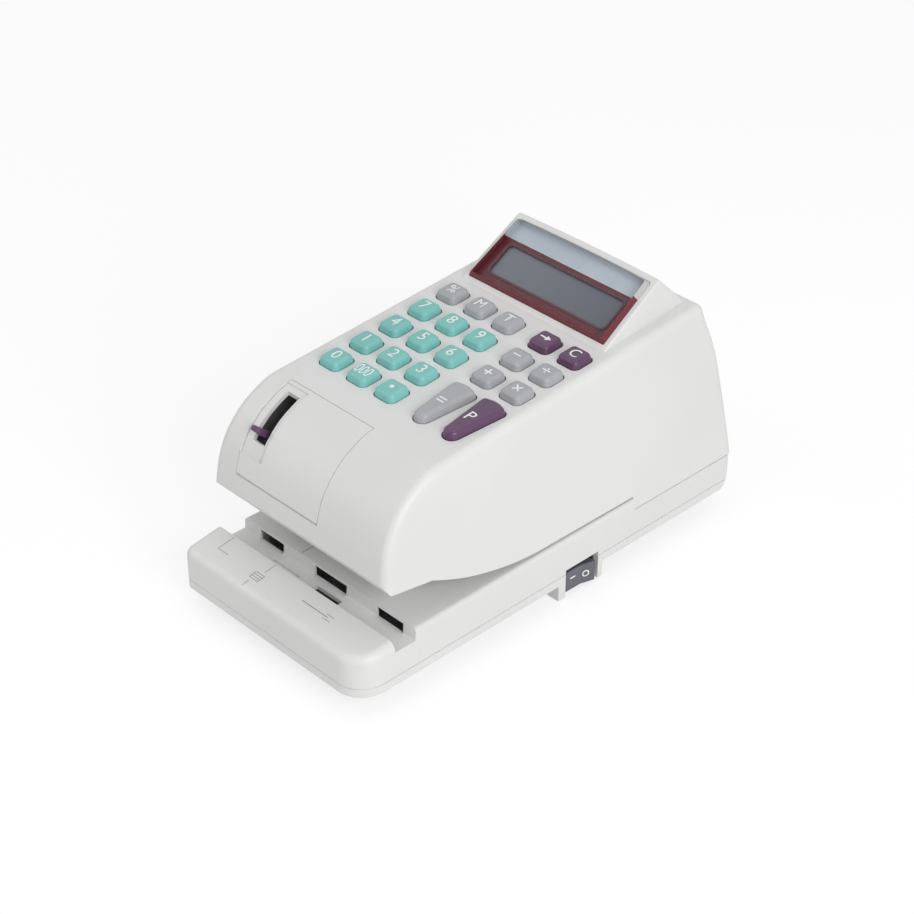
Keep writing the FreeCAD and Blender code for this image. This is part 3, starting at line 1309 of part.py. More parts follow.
def along_x(shape, x, y, z):
    """Place a shape drawn in (X, Y) about Z so that it lies in (Y, Z) about an axis towards +X."""
    placed = shape.copy()
    placed.rotate(Vector(0, 0, 0), Vector(1, 1, 1), 120)
    placed.translate(Vector(x, y, z))
    return placed


def gear(teeth, module, width, phase):
    """Spur gear between Z = 0 and its width."""
    return gear_face(teeth, module, phase).extrude(Vector(0, 0, width))


# ---------------------------------------------------------------- feed train
FEED_FRONT_PLATE_Y = TYRE_Y - FEED_PLATE_GAP - FEED_PLATE
PULLEY_Y = TYRE_END_Y + FEED_PLATE_GAP
PULLEY_WIDTH = PULLEY_GROOVE + 2 * PULLEY_FLANGE
FEED_BACK_PLATE_Y = PULLEY_Y + PULLEY_WIDTH + FEED_PLATE_GAP
FEED_FRAME_END_Y = FEED_BACK_PLATE_Y + FEED_PLATE
FEED_MOTOR_Z = FEED_Z - FEED_MOTOR_DROP


def pulley(x, z, radius):
    """Flanged belt pulley with its axis towards +Y."""
    groove = rod((x, PULLEY_Y, z), (0, 1, 0), radius, PULLEY_WIDTH)
    last = PULLEY_Y + PULLEY_WIDTH - PULLEY_FLANGE
    flanges = [rod((x, y, z), (0, 1, 0), radius + PULLEY_RIM, PULLEY_FLANGE) for y in (PULLEY_Y, last)]
    return fuse([groove] + flanges)


def feed_roller(x):
    """Feed roller: core with shaft and pulley, and a rubber tyre."""
    core = rod((x, TYRE_Y, FEED_Z), (0, 1, 0), FEED_CORE_RADIUS, PULLEY_Y - TYRE_Y)
    start = FEED_FRONT_PLATE_Y - 1.0
    shaft = rod((x, start, FEED_Z), (0, 1, 0), FEED_SHAFT, FEED_FRAME_END_Y + 1.0 - start)
    tyre = rod((x, TYRE_Y, FEED_Z), (0, 1, 0), FEED_RADIUS, FEED_TYRE_LENGTH)
    tyre = tyre.cut(rod((x, TYRE_Y, FEED_Z), (0, 1, 0), FEED_CORE_RADIUS + FIXED_FIT, FEED_TYRE_LENGTH))
    return [fuse([core, shaft, pulley(x, FEED_Z, PULLEY_RADIUS)]), tyre]


def belt_outline(offset):
    """Closed loop round the outer feed pulleys and the motor pulley, at an offset from their grooves."""
    circles = [(FEED_XS[0], FEED_Z, PULLEY_RADIUS + offset), (FEED_XS[2], FEED_Z, PULLEY_RADIUS + offset),
               (FEED_MOTOR_X, FEED_MOTOR_Z, MOTOR_PULLEY_RADIUS + offset)]
    tangents = []
    for (x, z, radius), (next_x, next_z, next_radius) in zip(circles, circles[1:] + circles[:1]):
        distance = math.hypot(next_x - x, next_z - z)
        heading = math.atan2(next_z - z, next_x - x)
        normal = heading + math.acos((radius - next_radius) / distance)
        outward = Vector(math.cos(normal), math.sin(normal), 0)
        start, end = Vector(x, z, 0) + outward * radius, Vector(next_x, next_z, 0) + outward * next_radius
        tangents.append((start, end, normal))
    edges = [Part.LineSegment(start, end).toShape() for start, end, _ in tangents]
    for (_, start, before), (end, _, after), (x, z, radius) in zip(tangents, tangents[1:] + tangents[:1],
                                                                 circles[1:] + circles[:1]):
        turn = (before - after) % (2 * math.pi)
        middle = before - turn / 2
        point = Vector(x + radius * math.cos(middle), z + radius * math.sin(middle), 0)
        edges.append(Part.Arc(start, point, end).toShape())
    return Part.Face(Part.Wire(Part.__sortEdges__(edges)))


def feed_belt():
    """Belt from the motor pulley round the feed rollers' pulleys, over the middle one."""
    outside = raised(belt_outline(RUN_FIT + BELT_THICK), 0, BELT_WIDTH)
    loop = outside.cut(raised(belt_outline(RUN_FIT), -1, BELT_WIDTH + 1))
    return along_y(loop, 0, PULLEY_Y + (PULLEY_WIDTH + BELT_WIDTH) / 2, 0)


def feed_pulley():
    """Pulley and shaft of the feed motor."""
    shaft = rod((FEED_MOTOR_X, PULLEY_Y, FEED_MOTOR_Z), (0, 1, 0), MOTOR_SHAFT,
                FEED_FRAME_END_Y + 11.0 - PULLEY_Y)
    return fuse([pulley(FEED_MOTOR_X, FEED_MOTOR_Z, MOTOR_PULLEY_RADIUS), shaft])


def motor(start, direction, radius, length):
    """Motor can with a bore for its shaft and a back cap."""
    axis = Vector(*direction)
    origin = Vector(*start)
    can = Part.makeCylinder(radius, length, origin, axis)
    cap = Part.makeCylinder(radius * 0.72, 1.6, origin + axis * length, axis)
    bore = Part.makeCylinder(MOTOR_SHAFT + RUN_FIT, 12.6, origin - axis, axis)
    return fuse([can, cap]).cut(bore)


def feed_motor():
    """Feed motor behind the feed frame."""
    start = (FEED_MOTOR_X, FEED_FRAME_END_Y + SEAT, FEED_MOTOR_Z)
    return motor(start, (0, 1, 0), FEED_MOTOR_RADIUS, FEED_MOTOR_LENGTH)


def feed_frame():
    """Channel of sheet steel across the base that carries the feed shafts."""
    low = SHELL_Z + PAN_THICK + SEAT
    high = DECK_Z - BASE_WALL - SEAT
    x_span = (-DECK_LEFT + BASE_WALL + 1.8, HALF_WIDTH - BASE_WALL - 2.8)
    channel = box(x_span, (FEED_FRONT_PLATE_Y, FEED_FRAME_END_Y), (low, high))
    inside = box((x_span[0] - 1, x_span[1] + 1), (FEED_FRONT_PLATE_Y + FEED_PLATE, FEED_BACK_PLATE_Y),
                 (low + FEED_PLATE, high + 1))
    start, span = FEED_FRONT_PLATE_Y - 1.0, FEED_FRAME_END_Y - FEED_FRONT_PLATE_Y + 2.0
    bores = [rod((x, start, FEED_Z), (0, 1, 0), FEED_SHAFT + RUN_FIT, span) for x in FEED_XS]
    bore_start = (FEED_MOTOR_X, FEED_BACK_PLATE_Y - 1.0, FEED_MOTOR_Z)
    motor_bore = rod(bore_start, (0, 1, 0), MOTOR_SHAFT + GAP, FEED_PLATE + 2.0)
    return channel.cut([inside, motor_bore] + bores)


def pinch_roller(x):
    """Pinch roller with its axle."""
    start = TYRE_Y - GAP - CHEEK_THICK
    length = FEED_TYRE_LENGTH + 2 * (GAP + CHEEK_THICK)
    axle = rod((x, start, PINCH_Z), (0, 1, 0), PINCH_AXLE, length)
    return fuse([rod((x, TYRE_Y, PINCH_Z), (0, 1, 0), PINCH_RADIUS, FEED_TYRE_LENGTH), axle])


# ---------------------------------------------------------------- print unit
PRINT_Z = DECK_Z + PRINT_LIFT + PRINT_RADIUS
PRINT_CENTRES = pitch_radius(PRINT_TEETH, PRINT_MODULE) + pitch_radius(PRINT_PINION_TEETH, PRINT_MODULE)
PRINT_MOTOR_Y = PRINT_Y + PRINT_CENTRES * math.cos(math.radians(PRINT_MOTOR_ANGLE))
PRINT_MOTOR_Z = PRINT_Z + PRINT_CENTRES * math.sin(math.radians(PRINT_MOTOR_ANGLE))
INK_REACH = PRINT_RADIUS + INK_GAP + INK_RADIUS
INK_Y = PRINT_Y + INK_REACH * math.cos(math.radians(INK_ANGLE))
INK_Z = PRINT_Z + INK_REACH * math.sin(math.radians(INK_ANGLE))
PRINT_FRAME_TOP = PRINT_MOTOR_Z + 15.0
PRINT_FRAME_YS = (INK_Y - 7.0, PRINT_Y - 6.0, PRINT_MOTOR_Y + PRINT_MOTOR_RADIUS + 2.0)


def print_shaft():
    """Print shaft with its gear."""
    shaft = rod((PRINT_FRAME_LEFT - 1.5, PRINT_Y, PRINT_Z), (1, 0, 0), PRINT_SHAFT,
                PRINT_FRAME_RIGHT + PRINT_PLATE + 1.5 - PRINT_FRAME_LEFT + 1.5)
    wheel = along_x(gear(PRINT_TEETH, PRINT_MODULE, PRINT_GEAR_WIDTH, 0.0), PRINT_GEAR_X, PRINT_Y, PRINT_Z)
    return fuse([shaft, wheel])


def print_wheel():
    """Print wheel with raised type pads round its rim."""
    start = PRINT_X - PRINT_WIDTH / 2
    wheel = rod((start, PRINT_Y, PRINT_Z), (1, 0, 0), PRINT_RADIUS - TYPE_HEIGHT, PRINT_WIDTH)
    pads = []
    for index in range(TYPE_COUNT):
        pad = box((start + 1.0, start + PRINT_WIDTH - 1.0), (-TYPE_HALF, TYPE_HALF),
                  (PRINT_RADIUS - TYPE_HEIGHT - 1.0, PRINT_RADIUS - 0.1))
        pad.rotate(Vector(0, 0, 0), Vector(1, 0, 0), 180.0 + index * 360.0 / TYPE_COUNT)
        pad.translate(Vector(0, PRINT_Y, PRINT_Z))
        pads.append(pad)
    bore = rod((start - 1, PRINT_Y, PRINT_Z), (1, 0, 0), PRINT_SHAFT + FIXED_FIT, PRINT_WIDTH + 2)
    return fuse([wheel] + pads).cut(bore)


def print_pinion():
    """Print motor's pinion and shaft."""
    phase = mesh_phase(PRINT_TEETH, 0.0, PRINT_PINION_TEETH, PRINT_MOTOR_ANGLE)
    wheel = gear(PRINT_PINION_TEETH, PRINT_MODULE, PRINT_GEAR_WIDTH, phase)
    wheel = along_x(wheel, PRINT_GEAR_X, PRINT_MOTOR_Y, PRINT_MOTOR_Z)
    shaft = rod((PRINT_GEAR_X, PRINT_MOTOR_Y, PRINT_MOTOR_Z), (1, 0, 0), MOTOR_SHAFT,
                PRINT_FRAME_RIGHT + PRINT_PLATE + 11.0 - PRINT_GEAR_X)
    return fuse([wheel, shaft])


def print_motor():
    """Print motor on the outside of the right print plate."""
    start = (PRINT_FRAME_RIGHT + PRINT_PLATE + SEAT, PRINT_MOTOR_Y, PRINT_MOTOR_Z)
    return motor(start, (1, 0, 0), PRINT_MOTOR_RADIUS, PRINT_MOTOR_LENGTH)


def print_frame():
    """Two side plates on the throat plate, joined by spacers."""
    lift = THROAT_LIFT + THROAT_THICK + SEAT
    front, middle, back = PRINT_FRAME_YS
    outline = side_polygon([(front, underside_z(front) + lift), (middle, underside_z(middle) + lift),
                            (back, underside_z(middle) + lift),
                            (back, PRINT_FRAME_TOP), (front, PRINT_FRAME_TOP)])
    plates = [across(outline, x, x + PRINT_PLATE) for x in (PRINT_FRAME_LEFT, PRINT_FRAME_RIGHT)]
    length = PRINT_FRAME_RIGHT - PRINT_FRAME_LEFT + PRINT_PLATE
    spacers = [rod((PRINT_FRAME_LEFT, y, PRINT_FRAME_TOP - 4.0), (1, 0, 0), 2.0, length)
               for y in (front + 4.0, back - 4.0)]
    start = PRINT_FRAME_LEFT - 1.0
    bores = [rod((start, PRINT_Y, PRINT_Z), (1, 0, 0), PRINT_SHAFT + RUN_FIT, length + 2.0),
             rod((start, INK_Y, INK_Z), (1, 0, 0), INK_AXLE + RUN_FIT, length + 2.0),
             rod((PRINT_FRAME_RIGHT - 1.0, PRINT_MOTOR_Y, PRINT_MOTOR_Z), (1, 0, 0), MOTOR_SHAFT + GAP, 4.0)]
    return fuse(plates + spacers).cut(bores)


def ink_roller():
    """Ink roller: felt sleeve on a core with its axle."""
    half = PRINT_WIDTH / 2 + 1.0
    axle = rod((PRINT_FRAME_LEFT - 0.8, INK_Y, INK_Z), (1, 0, 0), INK_AXLE,
               PRINT_FRAME_RIGHT - PRINT_FRAME_LEFT + PRINT_PLATE + 1.6)
    core = rod((PRINT_X - half - 1.0, INK_Y, INK_Z), (1, 0, 0), INK_RADIUS * 0.6, 2 * half + 2.0)
    felt = rod((PRINT_X - half, INK_Y, INK_Z), (1, 0, 0), INK_RADIUS, 2 * half)
    felt = felt.cut(rod((PRINT_X - half, INK_Y, INK_Z), (1, 0, 0), INK_RADIUS * 0.6 + FIXED_FIT, 2 * half))
    return [fuse([axle, core]), felt]


COIL_TOP_Z = DECK_Z - PLATEN_HEIGHT - 2.0


def platen():
    """Platen that presses the paper to the print wheel, with its plunger."""
    top = DECK_Z - 0.1
    x_span, y_span = centred(PRINT_X, PLATEN_SIZE[0] / 2), centred(PRINT_Y, PLATEN_SIZE[1] / 2)
    head = box(x_span, y_span, (top - PLATEN_HEIGHT, top))
    plunger = rod((PRINT_X, PRINT_Y, TRAY_FLOOR_Z + 4.5), (0, 0, 1), PLUNGER_RADIUS, top - TRAY_FLOOR_Z - 5.0)
    return fuse([head, plunger])


def solenoid_coil():
    """Coil of the platen's solenoid, standing on the pan."""
    height = COIL_TOP_Z - TRAY_FLOOR_Z
    coil = rod((PRINT_X, PRINT_Y, TRAY_FLOOR_Z), (0, 0, 1), COIL_RADIUS, height)
    waist = rod((PRINT_X, PRINT_Y, TRAY_FLOOR_Z + 2.0), (0, 0, 1), COIL_RADIUS + 1, height - 4.0)
    waist = waist.cut(rod((PRINT_X, PRINT_Y, TRAY_FLOOR_Z), (0, 0, 1), COIL_RADIUS - 0.8, COIL_TOP_Z))
    bore = rod((PRINT_X, PRINT_Y, TRAY_FLOOR_Z + 3.0), (0, 0, 1), PLUNGER_RADIUS + RUN_FIT, COIL_TOP_Z)
    return coil.cut([waist, bore])


# ---------------------------------------------------------------- switch, boards, supply
SWITCH_FACE_X = HALF_WIDTH - SWITCH_INSET
ROCKER_X = SWITCH_FACE_X - ROCKER_SETBACK


def switch_body():
    """Switch body with the rocker's cavity and bearings."""
    top = SWITCH_LOW + SWITCH_HEIGHT - SEAT
    body = box((SWITCH_BACK_X + 1.5 + SEAT, SWITCH_FACE_X), (SWITCH_SPAN[0] + SEAT, SWITCH_SPAN[1] - SEAT),
               (SWITCH_LOW + SEAT, top))
    length = ROCKER_SIZE[0]
    cavity = box((SWITCH_FACE_X - ROCKER_DEPTH, HALF_WIDTH + 1), centred(SWITCH_Y, length / 2 + 1.0),
                 (ROCKER_LOW - GAP, top - 1.0))
    bore = rod((ROCKER_X, SWITCH_Y, SWITCH_LOW), (0, 0, 1), ROCKER_PIN + RUN_FIT, SWITCH_HEIGHT)
    return body.cut([cavity, bore])


def switch_rocker():
    """Rocker with a shallow V face, tilted to its off position, on a vertical pivot."""
    length, height = ROCKER_SIZE
    half = length / 2
    back = -ROCKER_PIN - 0.8
    outline = [(ROCKER_CORNER, -half), (ROCKER_WAIST, ROCKER_FOLD), (ROCKER_CORNER, half), (2.0, half),
               (back, 2.0), (back, -2.0), (2.0, -half)]
    rocker = polygon([(x, y, 0) for x, y in outline]).extrude(Vector(0, 0, height))
    pin_low = SWITCH_LOW + SEAT - ROCKER_LOW
    pin = rod((0, 0, pin_low), (0, 0, 1), ROCKER_PIN, SWITCH_HEIGHT - 2 * SEAT)
    rocker = fuse([rocker, pin])
    rocker.rotate(Vector(0, 0, 0), Vector(0, 0, 1), -ROCKER_ANGLE)
    rocker.translate(Vector(ROCKER_X, SWITCH_Y, ROCKER_LOW))
    return rocker


def power_inlet():
    """Two-pin power inlet in the back wall."""
    width, height, depth = INLET_POCKET
    mouth_y = LENGTH - 1.0
    y_span = (mouth_y - depth, mouth_y + 1.0)
    pocket = box(centred(INLET_X, width / 2), y_span, centred(up(INLET_RISE), height / 2))
    along = edges_where(pocket, lambda edge, middle: edge.BoundBox.YLength > depth)
    pocket = pocket.makeFillet(height * 0.45, along)
    pins = []
    for side in (-1, 1):
        start = (INLET_X + side * INLET_PIN_PITCH / 2, mouth_y - depth, up(INLET_RISE))
        pins.append(rod(start, (0, 1, 0), INLET_PIN_RADIUS, depth - 2.0))
    return [inlet_box(0.0).cut(pocket)] + pins


def transformer():
    """Mains transformer: laminated core on the base, with its winding."""
    width, depth, height = TRANSFORMER_SIZE
    low = SEAM_Z - SEAT
    core = box(centred(TRANSFORMER_X, width / 2), centred(TRANSFORMER_Y, depth / 2), (low, low + height))
    x_span, z_span = centred(TRANSFORMER_X, width * 0.32), (low + 7.0, low + height - 7.0)
    window = box(x_span, centred(TRANSFORMER_Y, depth), z_span)
    winding = box(x_span, centred(TRANSFORMER_Y, depth / 2 + COIL_PROUD), z_span)
    winding = winding.makeFillet(3.0, edges_where(winding, lambda edge, middle: edge.BoundBox.ZLength > 5.0))
    return [core.cut(window), winding]


def main_board():
    """Main circuit board on the pan's posts, with its larger parts."""
    low = TRAY_FLOOR_Z + MAIN_BOARD_LIFT
    high = low + BOARD_THICK
    half_depth = MAIN_BOARD_DEPTH / 2
    board = box(centred(MAIN_BOARD_X, MAIN_BOARD_HALF), centred(MAIN_BOARD_Y, half_depth), (low, high))
    board = board.cut([rod((x, y, 0), (0, 0, 1), BOARD_PIN + SEAT, high + 1) for x, y in board_post_places()])
    parts = []
    for (x, y), (length, width, height) in BOARD_BLOCKS:
        x_span, y_span = centred(MAIN_BOARD_X + x, length / 2), centred(MAIN_BOARD_Y + y, width / 2)
        parts.append(box(x_span, y_span, (high, high + height)))
    for (x, y), radius, height in BOARD_CANS:
        parts.append(rod((MAIN_BOARD_X + x, MAIN_BOARD_Y + y, high), (0, 0, 1), radius, height))
    return [board] + parts


# ---------------------------------------------------------------- whole machine
def main():
    """Build and export every node."""
    os.makedirs("parts", exist_ok=True)
    for name, (column, row) in SQUARE_KEYS.items():
        save(name, [square_key(column, row)])
    for name, column in LONG_KEYS.items():
        save(name, [long_key(column)])
    for side, x in zip(("left", "middle", "right"), FEED_XS):
        save("feed_roller_" + side, feed_roller(x))
        save("pinch_roller_" + side, [pinch_roller(x)])
    makers = (upper_case, throat_plate, base_shell, bottom_pan, display_window, display_frame, lcd_panel,
              lcd_board, ink_cover, ink_lever, feed_pulley, feed_belt, feed_motor, feed_frame, print_shaft,
              print_wheel, print_pinion, print_motor, print_frame, platen, solenoid_coil, switch_body,
              switch_rocker)
    for maker in makers:
        save(maker.__name__, [maker()])
    for maker in (keypad_board, rubber_feet, case_screws, ink_roller, power_inlet, transformer, main_board):
        save(maker.__name__, maker())


main()
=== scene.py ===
"""Check writer: finishes, legends, printed marks, floor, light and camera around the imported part."""

import json
from math import cos, pi, radians, sin

import bpy
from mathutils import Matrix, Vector


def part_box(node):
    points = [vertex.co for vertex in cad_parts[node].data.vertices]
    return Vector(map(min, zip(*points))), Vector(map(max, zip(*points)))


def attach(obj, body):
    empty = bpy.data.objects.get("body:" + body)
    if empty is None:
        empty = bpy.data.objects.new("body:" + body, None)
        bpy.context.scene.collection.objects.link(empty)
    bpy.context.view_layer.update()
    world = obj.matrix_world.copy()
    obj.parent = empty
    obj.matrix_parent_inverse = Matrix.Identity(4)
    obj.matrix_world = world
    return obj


MM = 0.001
PAD_SLOPE = radians(3.8)          # rise of the keypad towards the back
HUMP_TILT = radians(30.4)         # rise of the display face
HUMP_FOOT = Vector((0.0, 42.748, 107.274)) * MM             # front edge of the display face
UP_HUMP = Vector((0.0, cos(HUMP_TILT), sin(HUMP_TILT)))     # direction up the display face
OFF_HUMP = Vector((0.0, -sin(HUMP_TILT), cos(HUMP_TILT)))   # direction out of the display face
STRIP_START = 29.1 * MM           # where the red print ends, up the display face

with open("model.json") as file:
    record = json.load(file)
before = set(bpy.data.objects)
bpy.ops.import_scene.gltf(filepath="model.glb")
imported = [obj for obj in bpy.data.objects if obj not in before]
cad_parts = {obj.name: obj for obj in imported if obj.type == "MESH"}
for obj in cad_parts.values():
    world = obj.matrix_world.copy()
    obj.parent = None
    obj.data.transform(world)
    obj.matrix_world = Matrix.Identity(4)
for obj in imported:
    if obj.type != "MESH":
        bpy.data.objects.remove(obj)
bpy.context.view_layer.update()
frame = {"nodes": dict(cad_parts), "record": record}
nodes = frame["nodes"]


# ---------------------------------------------------------------- picking and shaping
def deselect():
    """Leave nothing selected."""
    for thing in bpy.context.selected_objects:
        thing.select_set(False)


def pick(piece, *others):
    """Select a piece, and others with it, and make it the active one."""
    deselect()
    for thing in (piece,) + others:
        thing.select_set(True)
    bpy.context.view_layer.objects.active = piece


def settle(piece):
    """Put a piece's place into its mesh."""
    pick(piece)
    bpy.ops.object.transform_apply(location=True, rotation=True, scale=True)


def rename(piece, name):
    """Name a piece and its mesh."""
    piece.name = name
    piece.data.name = name


def start(kind, name, **settings):
    """New primitive, alone in the selection."""
    deselect()
    getattr(bpy.ops.mesh, "primitive_" + kind + "_add")(**settings)
    piece = bpy.context.object
    rename(piece, name)
    return piece


def rectangle(name, wide, deep, middle=(0.0, 0.0, 0.0)):
    """Flat rectangle about a point."""
    piece = start("plane", name, size=1.0, location=middle)
    piece.scale = (wide, deep, 1.0)
    settle(piece)
    return piece


def everywhere(mesh, part):
    """Test that every vertex or face passes."""
    return True


def edit(piece, mode, test, *steps):
    """Select vertices or faces by a test on their place or normal, then run steps in edit mode."""
    pick(piece)
    bpy.ops.object.mode_set(mode="EDIT")
    bpy.ops.mesh.select_mode(type=mode)
    bpy.ops.mesh.select_all(action="DESELECT")
    bpy.ops.object.mode_set(mode="OBJECT")
    mesh = piece.data
    for part in {"VERT": mesh.vertices, "FACE": mesh.polygons}[mode]:
        part.select = test(mesh, part)
    bpy.ops.object.mode_set(mode="EDIT")
    for step in steps:
        step()
    bpy.ops.object.mode_set(mode="OBJECT")


def divide(piece, cuts):
    """Cut every edge of a piece into equal lengths, so that it can follow a curved face."""
    edit(piece, "FACE", everywhere, lambda: bpy.ops.mesh.subdivide(number_cuts=cuts))


def keep_rim(piece, width, sink=0.0):
    """Keep only the rim of a flat piece, with its inner edge sunk."""
    edit(piece, "FACE", everywhere, lambda: bpy.ops.mesh.inset(thickness=width),
         lambda: bpy.ops.transform.translate(value=(0.0, 0.0, -sink)),
         lambda: bpy.ops.mesh.delete(type="FACE"))


def modify(piece, kind, **settings):
    """Add a modifier and apply it."""
    pick(piece)
    modifier = piece.modifiers.new(kind.lower(), kind)
    for key, value in settings.items():
        setattr(modifier, key, value)
    bpy.ops.object.modifier_apply(modifier=modifier.name)


def join(name, pieces):
    """Make several pieces one."""
    pick(*pieces)
    bpy.ops.object.join()
    joined = bpy.context.object
    rename(joined, name)
    return joined


def dress(piece, finish):
    """Give a piece one finish."""
    piece.data.materials.clear()
    piece.data.materials.append(finish)


# ---------------------------------------------------------------- finishes
def tone(*screen):
    """Linear colour of a screen colour of red, green and blue from 0 to 255."""
    linear = [((c / 255 + 0.055) / 1.055) ** 2.4 if c > 10 else c / 255 / 12.92 for c in screen]
    return (*linear, 1.0)


def grey(level):
    """Linear grey."""
    return (level, level, level, 1.0)


class Value:
    """A socket of a finish, for arithmetic."""

    def __init__(self, finish, socket):
        self.finish, self.socket = finish, socket

    def math(self, operation, first, second=0.0, clamp=False):
        """Result of a Math node."""
        settings = {"operation": operation, "use_clamp": clamp}
        return self.finish.add("Math", settings, {0: first, 1: second})

    def __add__(self, other):
        return self.math("ADD", self, other)

    def __sub__(self, other):
        return self.math("SUBTRACT", self, other)

    def __rsub__(self, other):
        return self.math("SUBTRACT", other, self)

    def __mul__(self, other):
        return self.math("MULTIPLY", self, other)

    def over(self, level):
        """1 where the value is over a level."""
        return self.math("GREATER_THAN", self, level)

    def smooth(self, low, high):
        """0 below low, 1 above high, smooth between."""
        sockets = {"Value": self, "From Min": low, "From Max": high}
        return self.finish.add("MapRange", {"interpolation_type": "SMOOTHSTEP"}, sockets)

    def size(self):
        """Size without sign."""
        return self.math("ABSOLUTE", self)

    __radd__ = __add__
    __rmul__ = __mul__


class Finish:
    """One material, or the world, and its nodes."""

    def __init__(self, name, world=False):
        self.holder = (bpy.data.worlds if world else bpy.data.materials).new(name)
        self.output = "ShaderNodeOutputWorld" if world else "ShaderNodeOutputMaterial"
        self.holder.use_nodes = True
        self.tree = self.holder.node_tree
        self.tree.nodes.clear()
        self.place = None if world else self.add("TexCoord", {}, {}, "Object")

    def add(self, kind, settings, sockets, out=0):
        """Add a node: its settings first, then the values or links of its sockets."""
        node = self.tree.nodes.new("ShaderNode" + kind)
        for key, value in settings.items():
            setattr(node, key, value)
        for key, value in sockets.items():
            if isinstance(value, Value):
                self.tree.links.new(value.socket, node.inputs[key])
            else:
                node.inputs[key].default_value = value
        return Value(self, node.outputs[out])

    def noise(self, scale, detail=2.0, rough=0.5, place=None):
        """Soft noise with features a metre over scale wide."""
        sockets = {"Vector": place or self.place, "Scale": scale, "Detail": detail, "Roughness": rough}
        return self.add("TexNoise", {}, sockets)

    def cells(self, scale):
        """Distance to the middle of the nearest cell of a pattern."""
        return self.add("TexVoronoi", {}, {"Vector": self.place, "Scale": scale}, "Distance")

    def bands(self, scale, wander):
        """Level bands that wander a little."""
        sockets = {"Vector": self.place, "Scale": scale, "Distortion": wander, "Detail": 1.0}
        return self.add("TexWave", {"wave_type": "BANDS", "bands_direction": "Z"}, sockets, "Fac")

    def tracks(self, scale):
        """Thin lines of a brick pattern."""
        black, white = grey(0.0), grey(1.0)
        sockets = {"Vector": self.place, "Scale": scale, "Mortar Size": 0.06, "Mortar Smooth": 0.2,
                   "Color1": black, "Color2": black, "Mortar": white}
        return self.add("TexBrick", {}, sockets, "Fac")

    def axis(self, name):
        """One coordinate of the object's place."""
        return self.add("SeparateXYZ", {}, {0: self.place}, name)

    def stretched(self, x, y, z):
        """Object place with its axes scaled."""
        return self.add("Mapping", {}, {"Vector": self.place, "Scale": (x, y, z)})

    def blend(self, factor, first, second):
        """Colour between two colours, by the Mix node's colour sockets."""
        return self.add("Mix", {"data_type": "RGBA"}, {0: factor, 6: first, 7: second}, 2)

    def bump(self, height, depth):
        """Normal of a relief from 0 to 1 that is a depth in metres deep."""
        return self.add("Bump", {}, {"Height": height, "Distance": depth, "Strength": 1.0})

    def surface(self, sockets):
        """End in one Principled shader."""
        return self.end(self.add("BsdfPrincipled", {}, sockets))

    def end(self, shader):
        """Link a shader to the output."""
        node = self.tree.nodes.new(self.output)
        self.tree.links.new(shader.socket, node.inputs["Surface"])
        return self.holder


def moulded(name, base, deep, rough=0.42):
    """Moulded plastic: a fine spark grain, faint flow marks and slightly uneven gloss."""
    f = Finish(name)
    flow = f.noise(14.0, 3.0)
    fine = f.noise(2600.0, 2.0, 0.6)
    pits = f.cells(1700.0)
    smudge = f.noise(38.0, 4.0, 0.6)
    colour = f.blend((flow * 0.7 + fine * 0.3).smooth(0.35, 0.65), base, deep)
    return f.surface({"Base Color": colour, "Roughness": smudge * 0.10 + (rough - 0.05),
                      "Normal": f.bump(fine * 0.6 + pits * 0.5, 0.012 * MM), "IOR": 1.5})


def rubber(name, base, worn):
    """Rubber: matte, dusty and finely pitted."""
    f = Finish(name)
    dust = f.noise(260.0, 4.0, 0.65)
    fine = f.noise(3200.0, 2.0)
    return f.surface({"Base Color": f.blend(dust.smooth(0.42, 0.72), base, worn),
                      "Roughness": dust * 0.18 + 0.62,
                      "Normal": f.bump(fine * 0.7 + dust * 0.5, 0.03 * MM)})


def drawn_metal(name, base, dark, rough, stretch):
    """Metal with fine lines along one axis and faint stains."""
    f = Finish(name)
    lines = f.noise(900.0, 3.0, 0.6, f.stretched(*stretch))
    stain = f.noise(120.0, 4.0, 0.6)
    return f.surface({"Base Color": f.blend((lines * 0.6 + stain * 0.4).smooth(0.35, 0.7), base, dark),
                      "Metallic": 1.0, "Roughness": lines * 0.22 + stain * 0.1 + (rough - 0.16),
                      "Normal": f.bump(lines, 0.01 * MM)})


def on_strip(f):
    """1 on the display's upper strip, 0 on the red print below it."""
    up = f.axis("Y") * UP_HUMP.y + f.axis("Z") * UP_HUMP.z
    return (up - HUMP_FOOT.dot(UP_HUMP)).over(STRIP_START)


def red_print():
    """Back of the window: dark red print round the glass, pale strip above it."""
    f = Finish("frame_red")
    fleck = f.noise(1500.0, 3.0, 0.6)
    cloud = f.noise(45.0, 3.0)
    uneven = (fleck * 0.5 + cloud * 0.5).smooth(0.4, 0.62)
    red = f.blend(uneven, tone(99, 17, 33), tone(85, 13, 28))
    pale = f.blend(uneven, tone(188, 197, 207), tone(180, 190, 201))
    return f.surface({"Base Color": f.blend(on_strip(f), red, pale), "Roughness": cloud * 0.1 + 0.3,
                      "Normal": f.bump(fleck, 0.006 * MM)})


def clear_window():
    """Clear acrylic: nearly invisible through its face, tinted where its cut edge shows the print."""
    f = Finish("window_clear")
    facing = f.add("TexCoord", {}, {}, "Normal")
    out = f.add("VectorMath", {"operation": "DOT_PRODUCT"}, {0: facing, 1: OFF_HUMP}, "Value")
    side = (1.0 - out.size()).smooth(0.04, 0.3)
    edge = f.blend(on_strip(f), tone(112, 30, 42), tone(190, 190, 190))
    haze = f.noise(70.0, 4.0, 0.6)
    return f.surface({"Base Color": f.blend(side, tone(150, 150, 156), edge),
                      "Alpha": side * 0.93 + haze * 0.03 + 0.01, "Roughness": haze * 0.05 + 0.05,
                      "Normal": f.bump(f.noise(2600.0, 2.0), 0.001 * MM), "IOR": 1.49})


